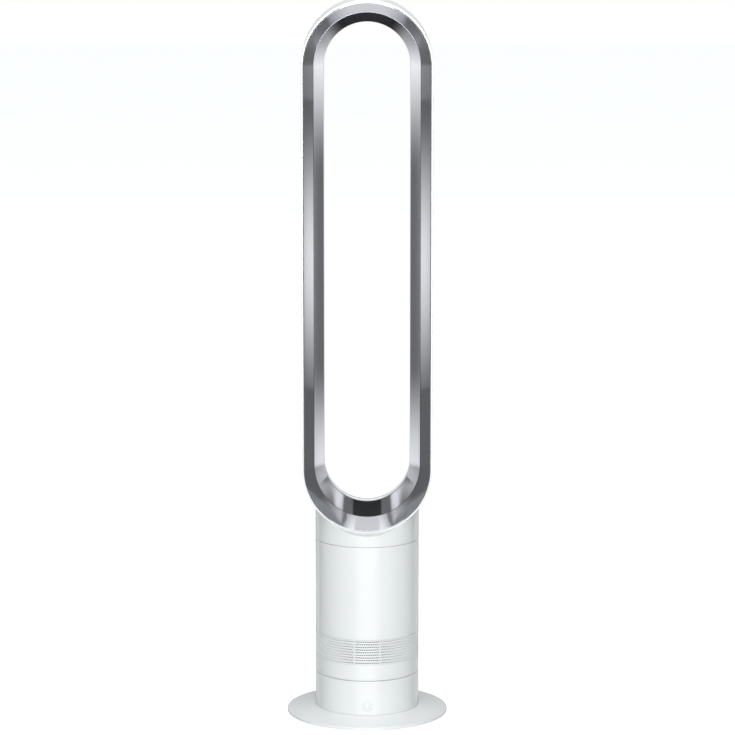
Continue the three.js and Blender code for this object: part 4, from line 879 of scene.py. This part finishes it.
# Glass-filled nylon: near black, with a faint swirl of fibres near the surface.
filled_nylon, tree, shader = surface("glass_filled_nylon", Base_Color=colour("2B2D30"),
                                     Roughness=0.48, IOR=1.53)
place = add(tree, "ShaderNodeTexCoord").outputs["Object"]
fibre = add(tree, "ShaderNodeTexNoise", {"Vector": place, "Scale": 1 / 0.001, "Distortion": 1.5})
tint = add(tree, "ShaderNodeMix", {0: fibre.outputs[0], 6: colour("26282B"), 7: colour("34363A")},
           data_type="RGBA")
tree.links.new(tint.outputs[2], shader.inputs["Base Color"])

# Glass-epoxy board: green solder resist over copper, drawn as blocks about 4 mm long because
# the real tracks are too fine to show.
resist, tree, shader = surface("green_solder_resist", Base_Color=colour("2C5A3D"), Roughness=0.35,
                               IOR=1.55)
place = add(tree, "ShaderNodeTexCoord").outputs["Object"]
tracks = add(tree, "ShaderNodeTexBrick", {"Vector": place, "Scale": 1 / 0.004, "Mortar Size": 0.06,
                                          "Color1": colour("2A5A3B"), "Color2": colour("2F6141"),
                                          "Mortar": colour("3F7A4E")})
tree.links.new(tracks.outputs[0], shader.inputs["Base Color"])

# Laminated steel with varnished copper windings: level bands, drawn coarser than the real half
# millimetre so that they show.
windings, tree, shader = surface("varnished_windings", Base_Color=colour("8A6A4C"), Metallic=0.7,
                                 Roughness=0.42)
place = add(tree, "ShaderNodeTexCoord").outputs["Object"]
stack = add(tree, "ShaderNodeTexWave", {"Vector": place, "Scale": 1 / 0.01}, bands_direction="Z")
tint = add(tree, "ShaderNodeMix", {0: stack.outputs[1], 6: colour("6D5742"), 7: colour("9C7853")},
           data_type="RGBA")
tree.links.new(tint.outputs[2], shader.inputs["Base Color"])

# Open-cell foam: dark grey, full of pores about a millimetre wide, each pore painted darker towards
# its middle as painted shade in the pit.
foam, tree, shader = surface("open_cell_foam", Base_Color=colour("4A4D50"), Roughness=0.95, IOR=1.4)
place = add(tree, "ShaderNodeTexCoord").outputs["Object"]
pores_and_pit_shade = add(tree, "ShaderNodeTexVoronoi", {"Vector": place, "Scale": 1 / 0.001})
# Painted shade: the pore pattern that sinks each pit also makes it darker towards its middle, where
# shade would fall in it.
tint = add(tree, "ShaderNodeMix", {0: pores_and_pit_shade.outputs[0], 6: colour("2C2E30"), 7: colour("585B5E")},
           data_type="RGBA")
tree.links.new(tint.outputs[2], shader.inputs["Base Color"])
relief(tree, shader, pores_and_pit_shade.outputs[0], 0.6, 0.0004)

# Smoked acrylic: near black and glossy, behind the band's holes.
smoked, tree, shader = surface("smoked_acrylic", Base_Color=colour("17191C"), Roughness=0.12,
                               IOR=1.49)
place = add(tree, "ShaderNodeTexCoord").outputs["Object"]
haze = add(tree, "ShaderNodeTexNoise", {"Vector": place, "Scale": 1 / 0.01})
shine = add(tree, "ShaderNodeMapRange", {"Value": haze.outputs[0], "To Min": 0.1, "To Max": 0.16})
tree.links.new(shine.outputs[0], shader.inputs["Roughness"])

finish_of = {
    "inner_plastic": textured_abs,
    "dark_plastic": filled_nylon,
    "acetal": acetal,
    "circuit_board": resist,
    "steel": zinc,
    "lamination": windings,
    "rubber": silicone,
    "foam": foam,
    "smoked_lens": smoked,
}
for subpart in frame["record"]["subparts"]:
    solid = nodes[subpart["node"]]
    if not solid.hide_render:
        for holder in solid.material_slots:
            holder.material = finish_of[subpart["material_slot"]]
